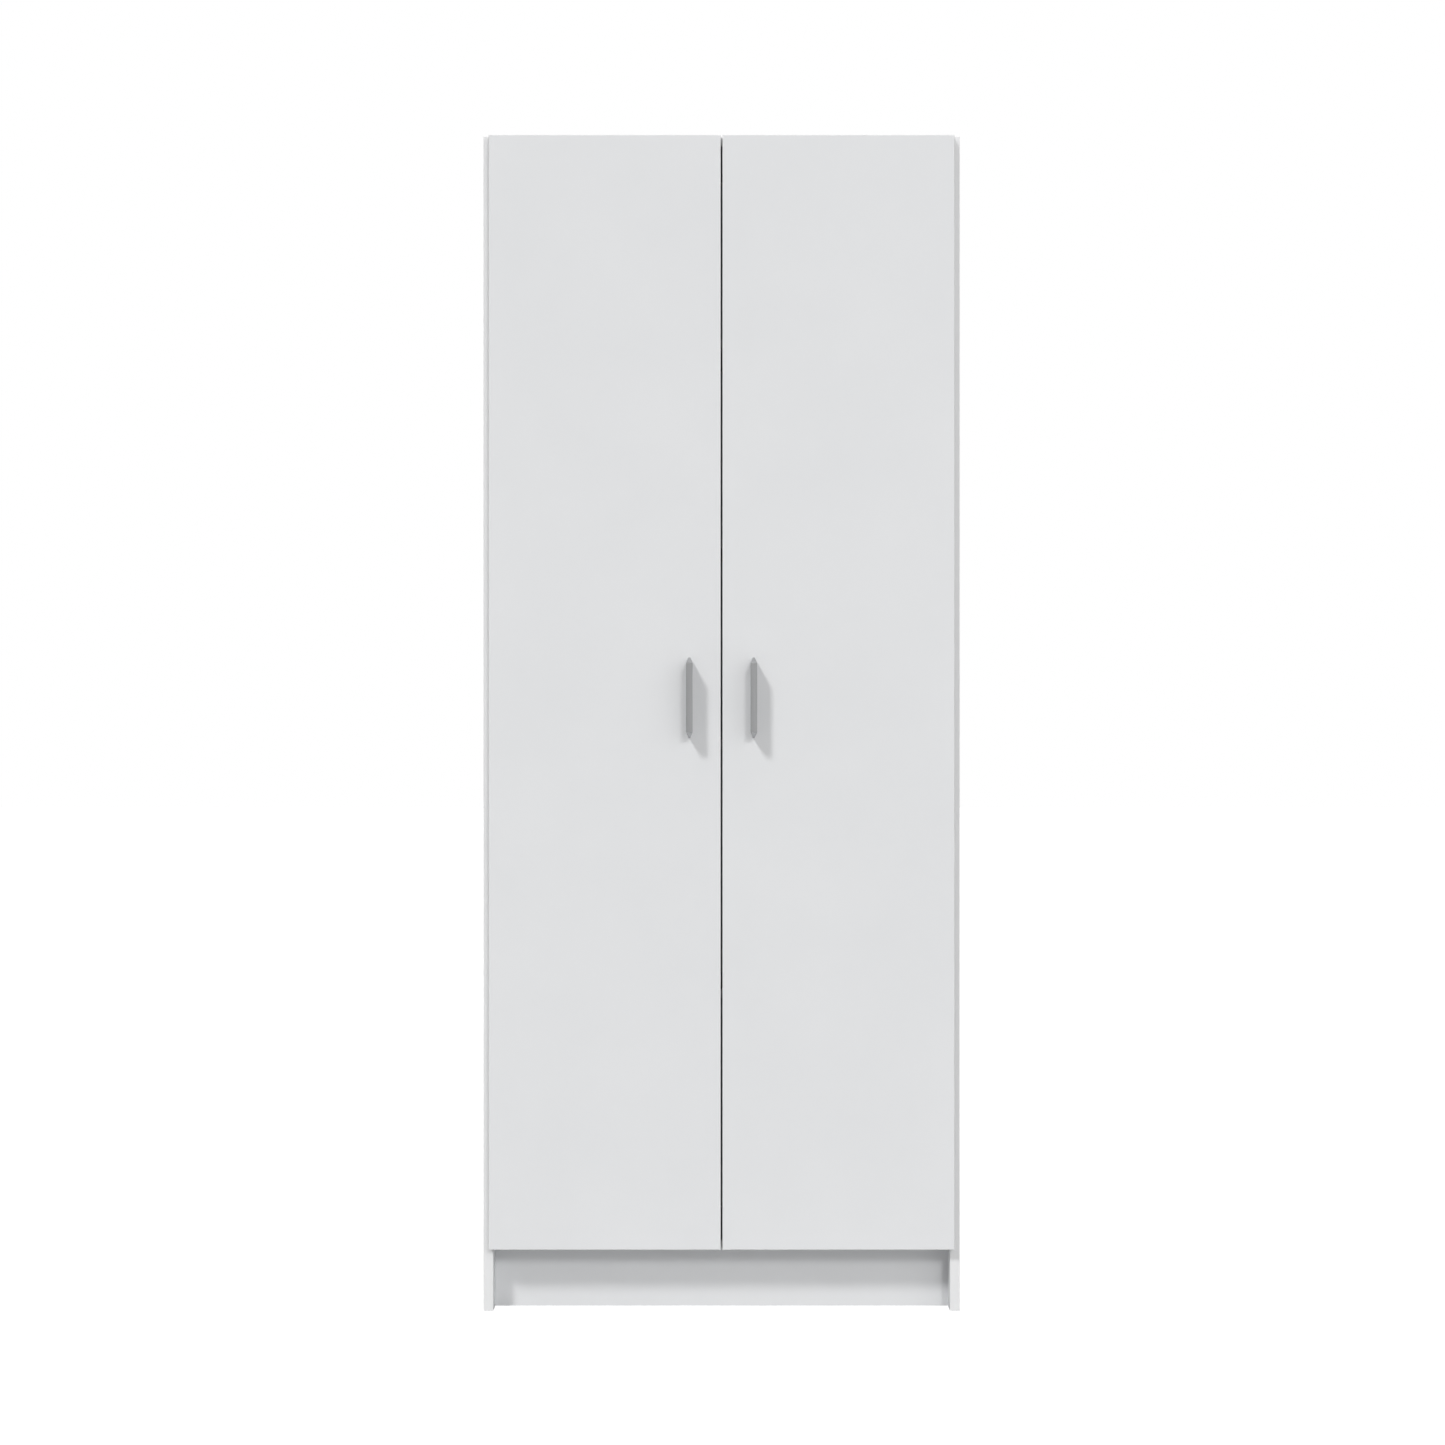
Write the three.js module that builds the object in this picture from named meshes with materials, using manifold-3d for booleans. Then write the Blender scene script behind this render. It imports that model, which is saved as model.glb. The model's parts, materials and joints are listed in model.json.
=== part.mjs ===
// Pantry cabinet: a tall two-door cupboard in white laminated board, on a recessed plinth.
// Millimetres, +Z up, doors towards -Y, origin at the middle of the footprint on the floor.
import * as THREE from 'three';
import { mergeVertices } from 'three/addons/utils/BufferGeometryUtils.js';
import Module from 'manifold-3d';

const wasm = await Module();
wasm.setup();

// ---- driving dimensions: carcass --------------------------------------------------------------
const WIDTH = 730;
const HEIGHT = 1800;
const BOARD = 15; // laminated particleboard
const SIDE_DEPTH = 350;
const BACK_BOARD = 3; // hardboard
const STRIP_FLANGE = 1; // flanges of the plastic H strip between the two back boards
const STRIP_WIDTH = 14;
const STRIP_WEB = 1;
const PLINTH_HEIGHT = 94;
const PLINTH_SETBACK = 45;
const FIT_GAP = 0.3; // working clearance between neighbouring pieces
const BACK_EDGE_GAP = 2; // the back stays this far inside the carcass all round
const FACETS = { bore: 24, cup: 20, rod: 12, pin: 10 }; // sides of the round pieces

// ---- driving dimensions: shelves and their pins -----------------------------------------------
const MIDDLE_SHELF_Z = 861; // underside of the fixed shelf
const SHELF_SETBACK = 20;
const SHELF_END_GAP = 1;
const SHELF_REAR_GAP = 1.5;
const SHELVES_BELOW = 1;
const SHELVES_ABOVE = 2;
const PIN_RADIUS = 2.4;
const PIN_HOLE_RADIUS = 2.75;
const PIN_HOLE_DEPTH = 9;
const PIN_IN_HOLE = 8;
const PIN_REACH = 9;
const PIN_COLLAR_RADIUS = 3.4;
const PIN_COLLAR = 0.8;
const SYSTEM_PITCH = 32; // pitch of the drilled rows
const SYSTEM_SETBACK = 37; // front row to the front edge
const PIN_REAR_SETBACK = 45; // rear row to the rear edge
const HOLES_EACH_WAY = 1; // spare holes above and below each shelf pin

// ---- driving dimensions: doors, handles -------------------------------------------------------
const DOOR_WIDTH = 354.6;
const DOOR_BOTTOM = 96;
const DOOR_MEETING_GAP = 2.8;
const DOOR_CARCASS_GAP = 2;
const HANDLE_OUT = 36; // how far a handle stands out from its door
const HANDLE_X = 49; // handle centre line from the middle of the cabinet
const HANDLE_Z = 940;
const HANDLE_FRONT = [10, 106]; // width and length of the front face
const HANDLE_FOOT = [3, 123]; // width and length on the door
const HANDLE_SPACING = 96;
const HANDLE_BOSS_RADIUS = 4.2;
const HANDLE_BOSS = 16;
const BUMPER = { radius: 4, thickness: 1.6, x: 12 };

// ---- driving dimensions: screws ---------------------------------------------------------------
const SCREW = { radius: 1.9, hole: 2.3, headRadius: 4, head: 2.4 };
const HANDLE_SCREW_BITE = 10;
const BRACKET_SCREW_BITE = 9;

// ---- driving dimensions: concealed hinges -----------------------------------------------------
// Hinge sizes in the plane of the swing are [x, y] from the pole that the door swings about:
// +x towards the side panel, +y into the cabinet.
const HINGE_HEIGHTS = [200, 948, 1696];
const POLE = { fromDoorEdge: 5, fromDoorBack: 11 };
const CUP = { x: -16.5, bore: 17.5, outer: 17.2, inner: 16, rim: 18.3, boreDepth: 12 };
const CUP_FLOOR = 1.2;
const CUP_FLANGE = 1;
const CUP_EAR = { x: -22.5, radius: 5.5, spacing: 48, hole: 2.1 };
const ARM_PIN = [-20, 14.5];
const ARM_PIN_RADIUS = 1.6;
const ARM_HALF_WIDTH = 6.5;
const ARM_SHEET = 1.4;
const ARM_OUTLINE = [[-23, 14.5], [-16.6, 28], [-11, 34], [-11, 78], [-4.6, 78], [-4.6, 24], [-17.4, 12.4]];
const ARM_WEB_START = 21;
const ARM_CLEAR = -40; // past the arm on the open side of its channel
const BEND_SHIFT = 1; // how far the inside of a bend lies from its outside along the arm
const ARM_TIP_RADIUS = 3.4;
const LINK_HALF_WIDTH = 4.6;
const LINK_BEND = [-12.5, 7];
const LINK_TIP = [-4.5, 5.5];
const LINK_EYE = { outer: 3, hole: 2 };
const LINK_SHEET = 2.6;
const LINK_TIP_RADIUS = 1.7;
const PLATE = { sheet: 3, wing: [12, 48], rail: [48, 8.8] };

// ---- driving dimensions: wall bracket ---------------------------------------------------------
const BRACKET = { x: 150, width: 30, sheet: 2, depth: 30, drop: 40, hole: 2.6, screwY: 17, wallZ: 26 };

// ---- levels worked out from the above ---------------------------------------------------------
const HALF = WIDTH / 2;
const INNER_HALF = HALF - BOARD;
const INNER_WIDTH = WIDTH - 2 * BOARD;
const DEPTH = HANDLE_OUT + BOARD + DOOR_CARCASS_GAP + SIDE_DEPTH + BACK_BOARD + STRIP_FLANGE;
const DOOR_FRONT_Y = HANDLE_OUT - DEPTH / 2;
const DOOR_BACK_Y = DOOR_FRONT_Y + BOARD;
const FRONT_Y = DOOR_BACK_Y + DOOR_CARCASS_GAP;
const REAR_Y = FRONT_Y + SIDE_DEPTH;
const MIDDLE_Y = (FRONT_Y + REAR_Y) / 2;
const PLINTH_Y = FRONT_Y + PLINTH_SETBACK;
const FLOOR_BOARD_Z = PLINTH_HEIGHT;
const TOP_BOARD_Z = HEIGHT - BOARD;
const DOOR_HEIGHT = HEIGHT - DOOR_BOTTOM;
const POLE_X = DOOR_MEETING_GAP / 2 + DOOR_WIDTH - POLE.fromDoorEdge; // from the middle of the cabinet
const POLE_TO_SIDE = INNER_HALF - POLE_X;
const POLE_TO_FRONT = POLE.fromDoorBack + DOOR_CARCASS_GAP;
const SHELF_REAR_Y = REAR_Y - SHELF_REAR_GAP;
const PIN_YS = [FRONT_Y + SYSTEM_SETBACK, REAR_Y - PIN_REAR_SETBACK];
const SHELF_ZS = [
  ...spacedShelves(FLOOR_BOARD_Z + BOARD, MIDDLE_SHELF_Z, SHELVES_BELOW),
  ...spacedShelves(MIDDLE_SHELF_Z + BOARD, TOP_BOARD_Z, SHELVES_ABOVE),
];

// Undersides of `count` shelves that share the height between two boards evenly.
function spacedShelves(bottom, top, count) {
  const opening = (top - bottom - count * BOARD) / (count + 1);
  return Array.from({ length: count }, (_, i) => bottom + opening + i * (opening + BOARD));
}

// ---- materials --------------------------------------------------------------------------------
const finish = {
  laminate: { color: 0xf2f2f0, roughness: 0.45, metalness: 0 },
  hardboard: { color: 0xe9e7e2, roughness: 0.7, metalness: 0 },
  handle: { color: 0xa3a4a6, roughness: 0.4, metalness: 0.3 },
  nickel: { color: 0xc6c7c8, roughness: 0.25, metalness: 1 },
  zinc: { color: 0xb5b8ba, roughness: 0.4, metalness: 1 },
  plastic: { color: 0xf5f5f3, roughness: 0.5, metalness: 0 },
};

// ---- solids -----------------------------------------------------------------------------------
// A closed three.js geometry as a manifold solid.
function solid(geometry) {
  const bare = geometry.clone();
  bare.deleteAttribute('normal');
  bare.deleteAttribute('uv');
  const merged = mergeVertices(bare, 1e-4);
  return new wasm.Manifold(new wasm.Mesh({
    numProp: 3,
    vertProperties: new Float32Array(merged.attributes.position.array),
    triVerts: new Uint32Array(merged.index.array),
  }));
}

// A manifold solid as a three.js geometry.
function geometryOf(body) {
  const mesh = body.getMesh();
  const geometry = new THREE.BufferGeometry();
  geometry.setAttribute('position', new THREE.BufferAttribute(mesh.vertProperties, 3));
  geometry.setIndex(new THREE.BufferAttribute(mesh.triVerts, 1));
  const faceted = geometry.toNonIndexed();
  faceted.computeVertexNormals();
  return faceted;
}

// A block between two corners.
function block([x0, y0, z0], [x1, y1, z1]) {
  const geometry = new THREE.BoxGeometry(x1 - x0, y1 - y0, z1 - z0);
  return geometry.translate((x0 + x1) / 2, (y0 + y1) / 2, (z0 + z1) / 2);
}

// A cylinder along 'x', 'y' or 'z', centred on a point.
function rod(axis, radius, length, [x, y, z], sides = FACETS.rod) {
  const geometry = new THREE.CylinderGeometry(radius, radius, length, sides);
  if (axis === 'x') geometry.rotateZ(Math.PI / 2);
  if (axis === 'z') geometry.rotateX(Math.PI / 2);
  return geometry.translate(x, y, z);
}

// A prism over an [x, y] outline, centred on z = 0.
function prism(outline, halfWidth) {
  const shape = new THREE.Shape(outline.map(([x, y]) => new THREE.Vector2(x, y)));
  const geometry = new THREE.ExtrudeGeometry(shape, { depth: 2 * halfWidth, bevelEnabled: false });
  return geometry.translate(0, 0, -halfWidth);
}

// A straight web of sheet between two [x, y] points, centred on z = 0.
function web([x0, y0], [x1, y1], thickness, halfWidth) {
  const length = Math.hypot(x1 - x0, y1 - y0);
  const geometry = new THREE.BoxGeometry(length, thickness, 2 * halfWidth);
  geometry.rotateZ(Math.atan2(y1 - y0, x1 - x0));
  return geometry.translate((x0 + x1) / 2, (y0 + y1) / 2, 0);
}

// A turned piece about the Y axis, from an outline of [radius, y] that starts and ends on the axis.
function turned(outline, sides) {
  return new THREE.LatheGeometry(outline.map(([r, y]) => new THREE.Vector2(r, y)), sides);
}

// One named piece, placed in its group.
function piece(name, geometry, look, position = [0, 0, 0]) {
  const mesh = new THREE.Mesh(geometry, new THREE.MeshStandardMaterial(look));
  mesh.name = name;
  mesh.position.set(...position);
  return mesh;
}

// ---- carcass ----------------------------------------------------------------------------------
// A side panel, outer face on the cabinet's side, with its drilled rows of shelf pin holes.
function sidePanel(name, side) {
  const inner = side * INNER_HALF;
  let body = solid(new THREE.BoxGeometry(BOARD, SIDE_DEPTH, HEIGHT));
  const centre = [inner + side * BOARD / 2, MIDDLE_Y, HEIGHT / 2];
  for (const shelfZ of SHELF_ZS) {
    for (const y of PIN_YS) {
      for (let step = -HOLES_EACH_WAY; step <= HOLES_EACH_WAY; step += 1) {
        const z = shelfZ - PIN_RADIUS + step * SYSTEM_PITCH;
        const x = inner + side * PIN_HOLE_DEPTH / 2 - side * FIT_GAP;
        const at = [x - centre[0], y - centre[1], z - centre[2]];
        body = body.subtract(solid(rod('x', PIN_HOLE_RADIUS, PIN_HOLE_DEPTH, at, FACETS.pin)));
      }
    }
  }
  return piece(name, geometryOf(body), finish.laminate, centre);
}

// A horizontal board between the sides, by its underside and its front and rear edges.
function board(name, underside, frontY, rearY, endGap = 0, bores = []) {
  const centre = [0, (frontY + rearY) / 2, underside + BOARD / 2];
  const sheet = new THREE.BoxGeometry(INNER_WIDTH - 2 * endGap, rearY - frontY, BOARD);
  let body = solid(sheet);
  for (const bore of bores) {
    const local = bore.at.map((value, axis) => value - centre[axis]);
    body = body.subtract(solid(rod('z', bore.radius, bore.length, local)));
  }
  return piece(name, geometryOf(body), finish.laminate, centre);
}

// One hardboard half of the back, nailed over the rear edges of the carcass.
function backBoard(name, side) {
  const width = HALF - BACK_EDGE_GAP - STRIP_WEB / 2 - FIT_GAP;
  const height = HEIGHT - BACK_EDGE_GAP - DOOR_BOTTOM;
  const x = side * (HALF - BACK_EDGE_GAP - width / 2);
  const centre = [x, REAR_Y + BACK_BOARD / 2, DOOR_BOTTOM + height / 2];
  return piece(name, new THREE.BoxGeometry(width, BACK_BOARD, height), finish.hardboard, centre);
}

// The H-section strip that holds the two halves of the back together.
function backStrip() {
  const web0 = STRIP_WEB / 2;
  const flange = STRIP_WIDTH / 2;
  const inside = -STRIP_FLANGE;
  const outside = BACK_BOARD + STRIP_FLANGE;
  const quarter = [[flange, inside], [flange, 0], [web0, 0], [web0, BACK_BOARD],
    [flange, BACK_BOARD], [flange, outside]];
  const mirrored = quarter.map(([x, y]) => [-x, y]).reverse();
  const length = TOP_BOARD_Z - FLOOR_BOARD_Z - BOARD - 2 * FIT_GAP;
  const middle = (TOP_BOARD_Z + FLOOR_BOARD_Z + BOARD) / 2;
  const section = prism([...quarter, ...mirrored], length / 2);
  return piece('back_joining_strip', section, finish.plastic, [0, REAR_Y, middle]);
}

// A shelf pin in a side panel, with a collar against the panel and the shelf resting on it.
function shelfPin(name, side, y, shelfZ) {
  const outline = [[0, -PIN_IN_HOLE], [PIN_RADIUS, -PIN_IN_HOLE], [PIN_RADIUS, 0], [PIN_COLLAR_RADIUS, 0],
    [PIN_COLLAR_RADIUS, PIN_COLLAR], [PIN_RADIUS, PIN_COLLAR], [PIN_RADIUS, PIN_REACH], [0, PIN_REACH]];
  const geometry = turned(outline, FACETS.pin).rotateZ(side * Math.PI / 2);
  return piece(name, geometry, finish.nickel, [side * INNER_HALF, y, shelfZ - PIN_RADIUS]);
}

// The steel angle under the top board that ties the cabinet to the wall, and its screw.
function wallBracket() {
  const top = TOP_BOARD_Z;
  const half = BRACKET.width / 2;
  const { x, sheet } = BRACKET;
  const flat = block([x - half, REAR_Y - BRACKET.depth, top - sheet], [x + half, REAR_Y, top]);
  const upright = block([x - half, REAR_Y - sheet, top - BRACKET.drop], [x + half, REAR_Y, top]);
  const screwHole = rod('z', BRACKET.hole, 3 * sheet, [x, REAR_Y - BRACKET.screwY, top]);
  const wallHole = rod('y', BRACKET.hole, 3 * sheet, [x, REAR_Y, top - BRACKET.wallZ]);
  const angle = solid(flat).add(solid(upright)).subtract(solid(screwHole)).subtract(solid(wallHole));
  const screw = screwGeometry(sheet + BRACKET_SCREW_BITE).rotateX(-Math.PI / 2);
  const screwAt = [x, REAR_Y - BRACKET.screwY, top - sheet];
  return [
    piece('wall_bracket', geometryOf(angle), finish.zinc),
    piece('wall_bracket_screw', screw, finish.zinc, screwAt),
  ];
}

// A screw along -Y: the head's underside at y = 0, the shank running to y = -length.
function screwGeometry(length) {
  const point = 1.5;
  const crown = 0.6;
  const outline = [[0, -length], [SCREW.radius, -length + point], [SCREW.radius, 0], [SCREW.headRadius, 0],
    [SCREW.headRadius, SCREW.head - crown], [SCREW.headRadius - crown, SCREW.head], [0, SCREW.head]];
  return turned(outline, FACETS.rod);
}

// ---- doors ------------------------------------------------------------------------------------
// A door with its hinge cup bores and its handle screw holes.
function door(name, side) {
  const centre = [side * (DOOR_MEETING_GAP + DOOR_WIDTH) / 2, (DOOR_FRONT_Y + DOOR_BACK_Y) / 2,
    DOOR_BOTTOM + DOOR_HEIGHT / 2];
  let body = solid(new THREE.BoxGeometry(DOOR_WIDTH, BOARD, DOOR_HEIGHT));
  for (const height of HINGE_HEIGHTS) {
    const x = side * (POLE_X + CUP.x) - centre[0];
    const at = [x, BOARD / 2, height - centre[2]];
    body = body.subtract(solid(rod('y', CUP.bore, 2 * CUP.boreDepth, at, FACETS.bore)));
  }
  for (const end of [-1, 1]) {
    const at = [side * HANDLE_X - centre[0], 0, HANDLE_Z + end * HANDLE_SPACING / 2 - centre[2]];
    body = body.subtract(solid(rod('y', SCREW.hole, 2 * BOARD, at)));
  }
  return piece(name, geometryOf(body), finish.laminate, centre);
}

// A solid wedge handle: its front face is wide and short, its foot on the door narrow and long.
function handle(name, side) {
  const wedge = new THREE.BoxGeometry(1, HANDLE_OUT, 1);
  const corners = wedge.attributes.position;
  for (let i = 0; i < corners.count; i += 1) {
    const [width, length] = corners.getY(i) < 0 ? HANDLE_FRONT : HANDLE_FOOT;
    corners.setX(i, corners.getX(i) * width);
    corners.setZ(i, corners.getZ(i) * length);
  }
  let body = solid(wedge);
  const footY = HANDLE_OUT / 2;
  for (const end of [-1, 1]) {
    const z = end * HANDLE_SPACING / 2;
    const boss = rod('y', HANDLE_BOSS_RADIUS, HANDLE_BOSS, [0, footY - HANDLE_BOSS / 2, z]);
    body = body.add(solid(boss));
  }
  for (const end of [-1, 1]) {
    const depth = HANDLE_SCREW_BITE + 2 * FIT_GAP;
    const at = [0, footY, end * HANDLE_SPACING / 2];
    body = body.subtract(solid(rod('y', SCREW.hole, 2 * depth, at)));
  }
  const centre = [side * HANDLE_X, DOOR_FRONT_Y - footY, HANDLE_Z];
  return piece(name, geometryOf(body), finish.handle, centre);
}

// ---- concealed hinges -------------------------------------------------------------------------
// The pressed cup in the door, with its rim and its two screw ears.
function hingeCup(side) {
  const floor = POLE.fromDoorBack - CUP.boreDepth + FIT_GAP;
  const back = POLE.fromDoorBack;
  const rim = back + CUP_FLANGE;
  const shell = turned([[0, floor], [CUP.outer, floor], [CUP.outer, back], [CUP.rim, back],
    [CUP.rim, rim], [CUP.inner, rim], [CUP.inner, floor + CUP_FLOOR], [0, floor + CUP_FLOOR]], FACETS.cup);
  shell.translate(side * CUP.x, 0, 0);
  const earX = side * CUP_EAR.x;
  const { radius } = CUP_EAR;
  const halfSpacing = CUP_EAR.spacing / 2;
  let ears = solid(block([earX - radius, back, -halfSpacing], [earX + radius, rim, halfSpacing]));
  for (const end of [-1, 1]) {
    const at = [earX, (back + rim) / 2, end * halfSpacing];
    ears = ears.add(solid(rod('y', radius, CUP_FLANGE, at)));
    ears = ears.subtract(solid(rod('y', CUP_EAR.hole, 2 * CUP_FLANGE, at, FACETS.pin)));
  }
  const mouth = rod('y', CUP.inner, 2 * CUP_FLANGE, [side * CUP.x, back, 0], FACETS.cup);
  return geometryOf(solid(shell).add(ears.subtract(solid(mouth))));
}

// The gooseneck link: an eye on the arm's pin, reaching round the door's edge into the cup.
function hingeLink(side) {
  const bend = at2d(LINK_BEND, side, ARM_PIN);
  const tip = at2d(LINK_TIP, side, ARM_PIN);
  const width = 2 * LINK_HALF_WIDTH;
  const body = solid(rod('z', LINK_EYE.outer, width, [0, 0, 0]))
    .add(solid(web([0, 0], bend, LINK_SHEET, LINK_HALF_WIDTH)))
    .add(solid(rod('z', LINK_SHEET / 2, width, [...bend, 0])))
    .add(solid(web(bend, tip, LINK_SHEET, LINK_HALF_WIDTH)))
    .add(solid(rod('z', LINK_TIP_RADIUS, width, [...tip, 0])))
    .subtract(solid(rod('z', LINK_EYE.hole, 2 * width, [0, 0, 0])));
  return geometryOf(body);
}

// The cranked arm: a channel over the mounting plate's rail, with the link's pin across its tip.
function hingeArm(side) {
  const outline = ARM_OUTLINE.map((point) => at2d(point, side));
  const [tipX, tipY] = at2d(ARM_PIN, side);
  const width = 2 * ARM_HALF_WIDTH;
  const ears = rod('z', ARM_TIP_RADIUS, width, [tipX, tipY, 0]);
  const outer = solid(prism(outline, ARM_HALF_WIDTH)).add(solid(ears));
  const [, , webFoot, webEnd] = ARM_OUTLINE;
  const webX = webFoot[0] + ARM_SHEET;
  const slope = (webFoot[0] - ARM_OUTLINE[1][0]) / (webFoot[1] - ARM_OUTLINE[1][1]);
  const startX = ARM_OUTLINE[1][0] + ARM_SHEET - slope * (ARM_OUTLINE[1][1] - ARM_WEB_START) / 2;
  const hollow = [[ARM_CLEAR, 0], [ARM_CLEAR, ARM_WEB_START], [startX, ARM_WEB_START],
    [webX, webFoot[1] - BEND_SHIFT], [webX, webEnd[1] + BEND_SHIFT], [0, webEnd[1] + BEND_SHIFT], [0, 0]];
  const inside = prism(hollow.map((point) => at2d(point, side)), ARM_HALF_WIDTH - ARM_SHEET);
  const pin = rod('z', ARM_PIN_RADIUS, width, [tipX, tipY, 0]);
  return geometryOf(outer.subtract(solid(inside)).add(solid(pin)));
}

// The mounting plate: two screw wings on the side panel and the rail that carries the arm.
function hingePlate(side) {
  const face = POLE_TO_SIDE;
  const y = POLE_TO_FRONT + SYSTEM_SETBACK;
  const [wingDepth, wingHeight] = PLATE.wing;
  const [railLength, railHeight] = PLATE.rail;
  const wing = spanBlock(side, [face - PLATE.sheet, face], y, wingDepth, wingHeight);
  const rail = spanBlock(side, [ARM_OUTLINE[2][0] + ARM_SHEET, face], y, railLength, railHeight);
  let body = solid(wing).add(solid(rail));
  for (const end of [-1, 1]) {
    const at = [side * face, y, end * SYSTEM_PITCH / 2];
    body = body.subtract(solid(rod('x', SCREW.hole, 4 * PLATE.sheet, at)));
  }
  return geometryOf(body);
}

// An [x, y] point on the hinge of one side, from the pole or from another point.
function at2d([x, y], side, from = [0, 0]) {
  return [side * (x - from[0]), y - from[1]];
}

// A block that spans two x values of one side's hinge, centred on y and on z = 0.
function spanBlock(side, [xa, xb], y, depth, height) {
  const [x0, x1] = [side * xa, side * xb].sort((a, b) => a - b);
  return block([x0, y - depth / 2, -height / 2], [x1, y + depth / 2, height / 2]);
}

// One hinge, as a group on the door's pole.
function hinge(prefix, side, height) {
  const group = new THREE.Group();
  group.position.set(side * POLE_X, DOOR_BACK_Y - POLE.fromDoorBack, height);
  const pin = [...at2d(ARM_PIN, side), 0];
  group.add(piece(`${prefix}_cup`, hingeCup(side), finish.nickel));
  group.add(piece(`${prefix}_link`, hingeLink(side), finish.nickel, pin));
  group.add(piece(`${prefix}_arm`, hingeArm(side), finish.nickel));
  group.add(piece(`${prefix}_plate`, hingePlate(side), finish.nickel));
  return group;
}

// ---- assembly ---------------------------------------------------------------------------------
const SIDES = { left: -1, right: 1 };
const HINGE_NAMES = ['bottom', 'middle', 'top'];

function carcass() {
  const group = new THREE.Group();
  const pilot = BRACKET_SCREW_BITE + 2 * FIT_GAP;
  const bracketBore = {
    at: [BRACKET.x, REAR_Y - BRACKET.screwY, TOP_BOARD_Z],
    radius: SCREW.hole,
    length: 2 * pilot,
  };
  group.add(sidePanel('left_side', SIDES.left));
  group.add(sidePanel('right_side', SIDES.right));
  group.add(board('top_panel', TOP_BOARD_Z, FRONT_Y, REAR_Y, 0, [bracketBore]));
  group.add(board('bottom_panel', FLOOR_BOARD_Z, FRONT_Y, REAR_Y));
  group.add(board('middle_shelf', MIDDLE_SHELF_Z, FRONT_Y + SHELF_SETBACK, SHELF_REAR_Y));
  const plinth = new THREE.BoxGeometry(INNER_WIDTH, BOARD, PLINTH_HEIGHT);
  group.add(piece('plinth', plinth, finish.laminate, [0, PLINTH_Y + BOARD / 2, PLINTH_HEIGHT / 2]));
  group.add(backBoard('back_left', SIDES.left));
  group.add(backBoard('back_right', SIDES.right));
  group.add(backStrip());
  group.add(...wallBracket());
  return group;
}

function adjustableShelves() {
  const group = new THREE.Group();
  SHELF_ZS.forEach((underside, index) => {
    const name = `shelf_${index + 1}`;
    group.add(board(name, underside, FRONT_Y + SHELF_SETBACK, SHELF_REAR_Y, SHELF_END_GAP));
    for (const [sideName, side] of Object.entries(SIDES)) {
      group.add(shelfPin(`${name}_pin_front_${sideName}`, side, PIN_YS[0], underside));
      group.add(shelfPin(`${name}_pin_rear_${sideName}`, side, PIN_YS[1], underside));
    }
  });
  return group;
}

function doorSet(sideName, side) {
  const group = new THREE.Group();
  group.add(door(`${sideName}_door`, side));
  group.add(handle(`${sideName}_handle`, side));
  for (const [place, end] of [['lower', -1], ['upper', 1]]) {
    const at = [side * HANDLE_X, DOOR_BACK_Y, HANDLE_Z + end * HANDLE_SPACING / 2];
    const screw = screwGeometry(BOARD + HANDLE_SCREW_BITE);
    group.add(piece(`${sideName}_handle_screw_${place}`, screw, finish.zinc, at));
  }
  HINGE_HEIGHTS.forEach((height, index) => {
    group.add(hinge(`${sideName}_${HINGE_NAMES[index]}_hinge`, side, height));
  });
  const bumper = rod('y', BUMPER.radius, BUMPER.thickness, [0, 0, 0]);
  const bumperAt = [side * BUMPER.x, FRONT_Y - BUMPER.thickness / 2, HEIGHT - BOARD / 2];
  group.add(piece(`${sideName}_door_bumper`, bumper, finish.plastic, bumperAt));
  return group;
}

const cabinet = new THREE.Group();
cabinet.add(carcass());
cabinet.add(adjustableShelves());
for (const [sideName, side] of Object.entries(SIDES)) {
  cabinet.add(doorSet(sideName, side));
}

export default cabinet;
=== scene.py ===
"""Pantry cabinet: a tall two-door cupboard in white laminated board on a recessed plinth.

Metres, +Z up, doors towards -Y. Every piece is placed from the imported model's boxes and joints.
"""

import json
import logging
import math
from collections.abc import Callable, Iterable, Sequence
from dataclasses import dataclass, field
from enum import Enum

import bmesh
import bpy
from mathutils import Matrix, Vector


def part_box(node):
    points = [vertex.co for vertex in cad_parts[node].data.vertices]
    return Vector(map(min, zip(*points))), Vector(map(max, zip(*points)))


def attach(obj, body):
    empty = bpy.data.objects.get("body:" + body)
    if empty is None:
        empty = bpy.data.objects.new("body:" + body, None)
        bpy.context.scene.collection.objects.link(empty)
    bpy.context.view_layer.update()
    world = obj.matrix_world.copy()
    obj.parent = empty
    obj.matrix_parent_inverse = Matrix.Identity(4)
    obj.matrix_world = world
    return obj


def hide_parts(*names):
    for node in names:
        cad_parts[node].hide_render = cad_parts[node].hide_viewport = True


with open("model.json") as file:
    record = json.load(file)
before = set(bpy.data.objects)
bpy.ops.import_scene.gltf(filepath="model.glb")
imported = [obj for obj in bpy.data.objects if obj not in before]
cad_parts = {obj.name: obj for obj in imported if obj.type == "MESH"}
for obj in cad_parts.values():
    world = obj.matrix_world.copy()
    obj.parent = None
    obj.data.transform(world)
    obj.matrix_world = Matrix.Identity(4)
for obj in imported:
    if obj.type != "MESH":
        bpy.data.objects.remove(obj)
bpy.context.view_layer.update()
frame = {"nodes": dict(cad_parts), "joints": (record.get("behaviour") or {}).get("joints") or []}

LOG = logging.getLogger("pantry_cabinet")
MM = 0.001
TOUCH = 0.02 * MM  # two places closer than this are the same place
SHARP = math.radians(38)  # an edge that turns more than this stays crisp
CARCASS = "carcass"

Colour = tuple[float, float, float]
Point2 = tuple[float, float]


class Axis(Enum):
    """A direction of the frame, as an index into a vector."""

    X = 0
    Y = 1
    Z = 2

    @property
    def vector(self) -> Vector:
        """The unit vector along this axis."""
        return Vector([1.0 if index == self.value else 0.0 for index in range(3)])


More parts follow.
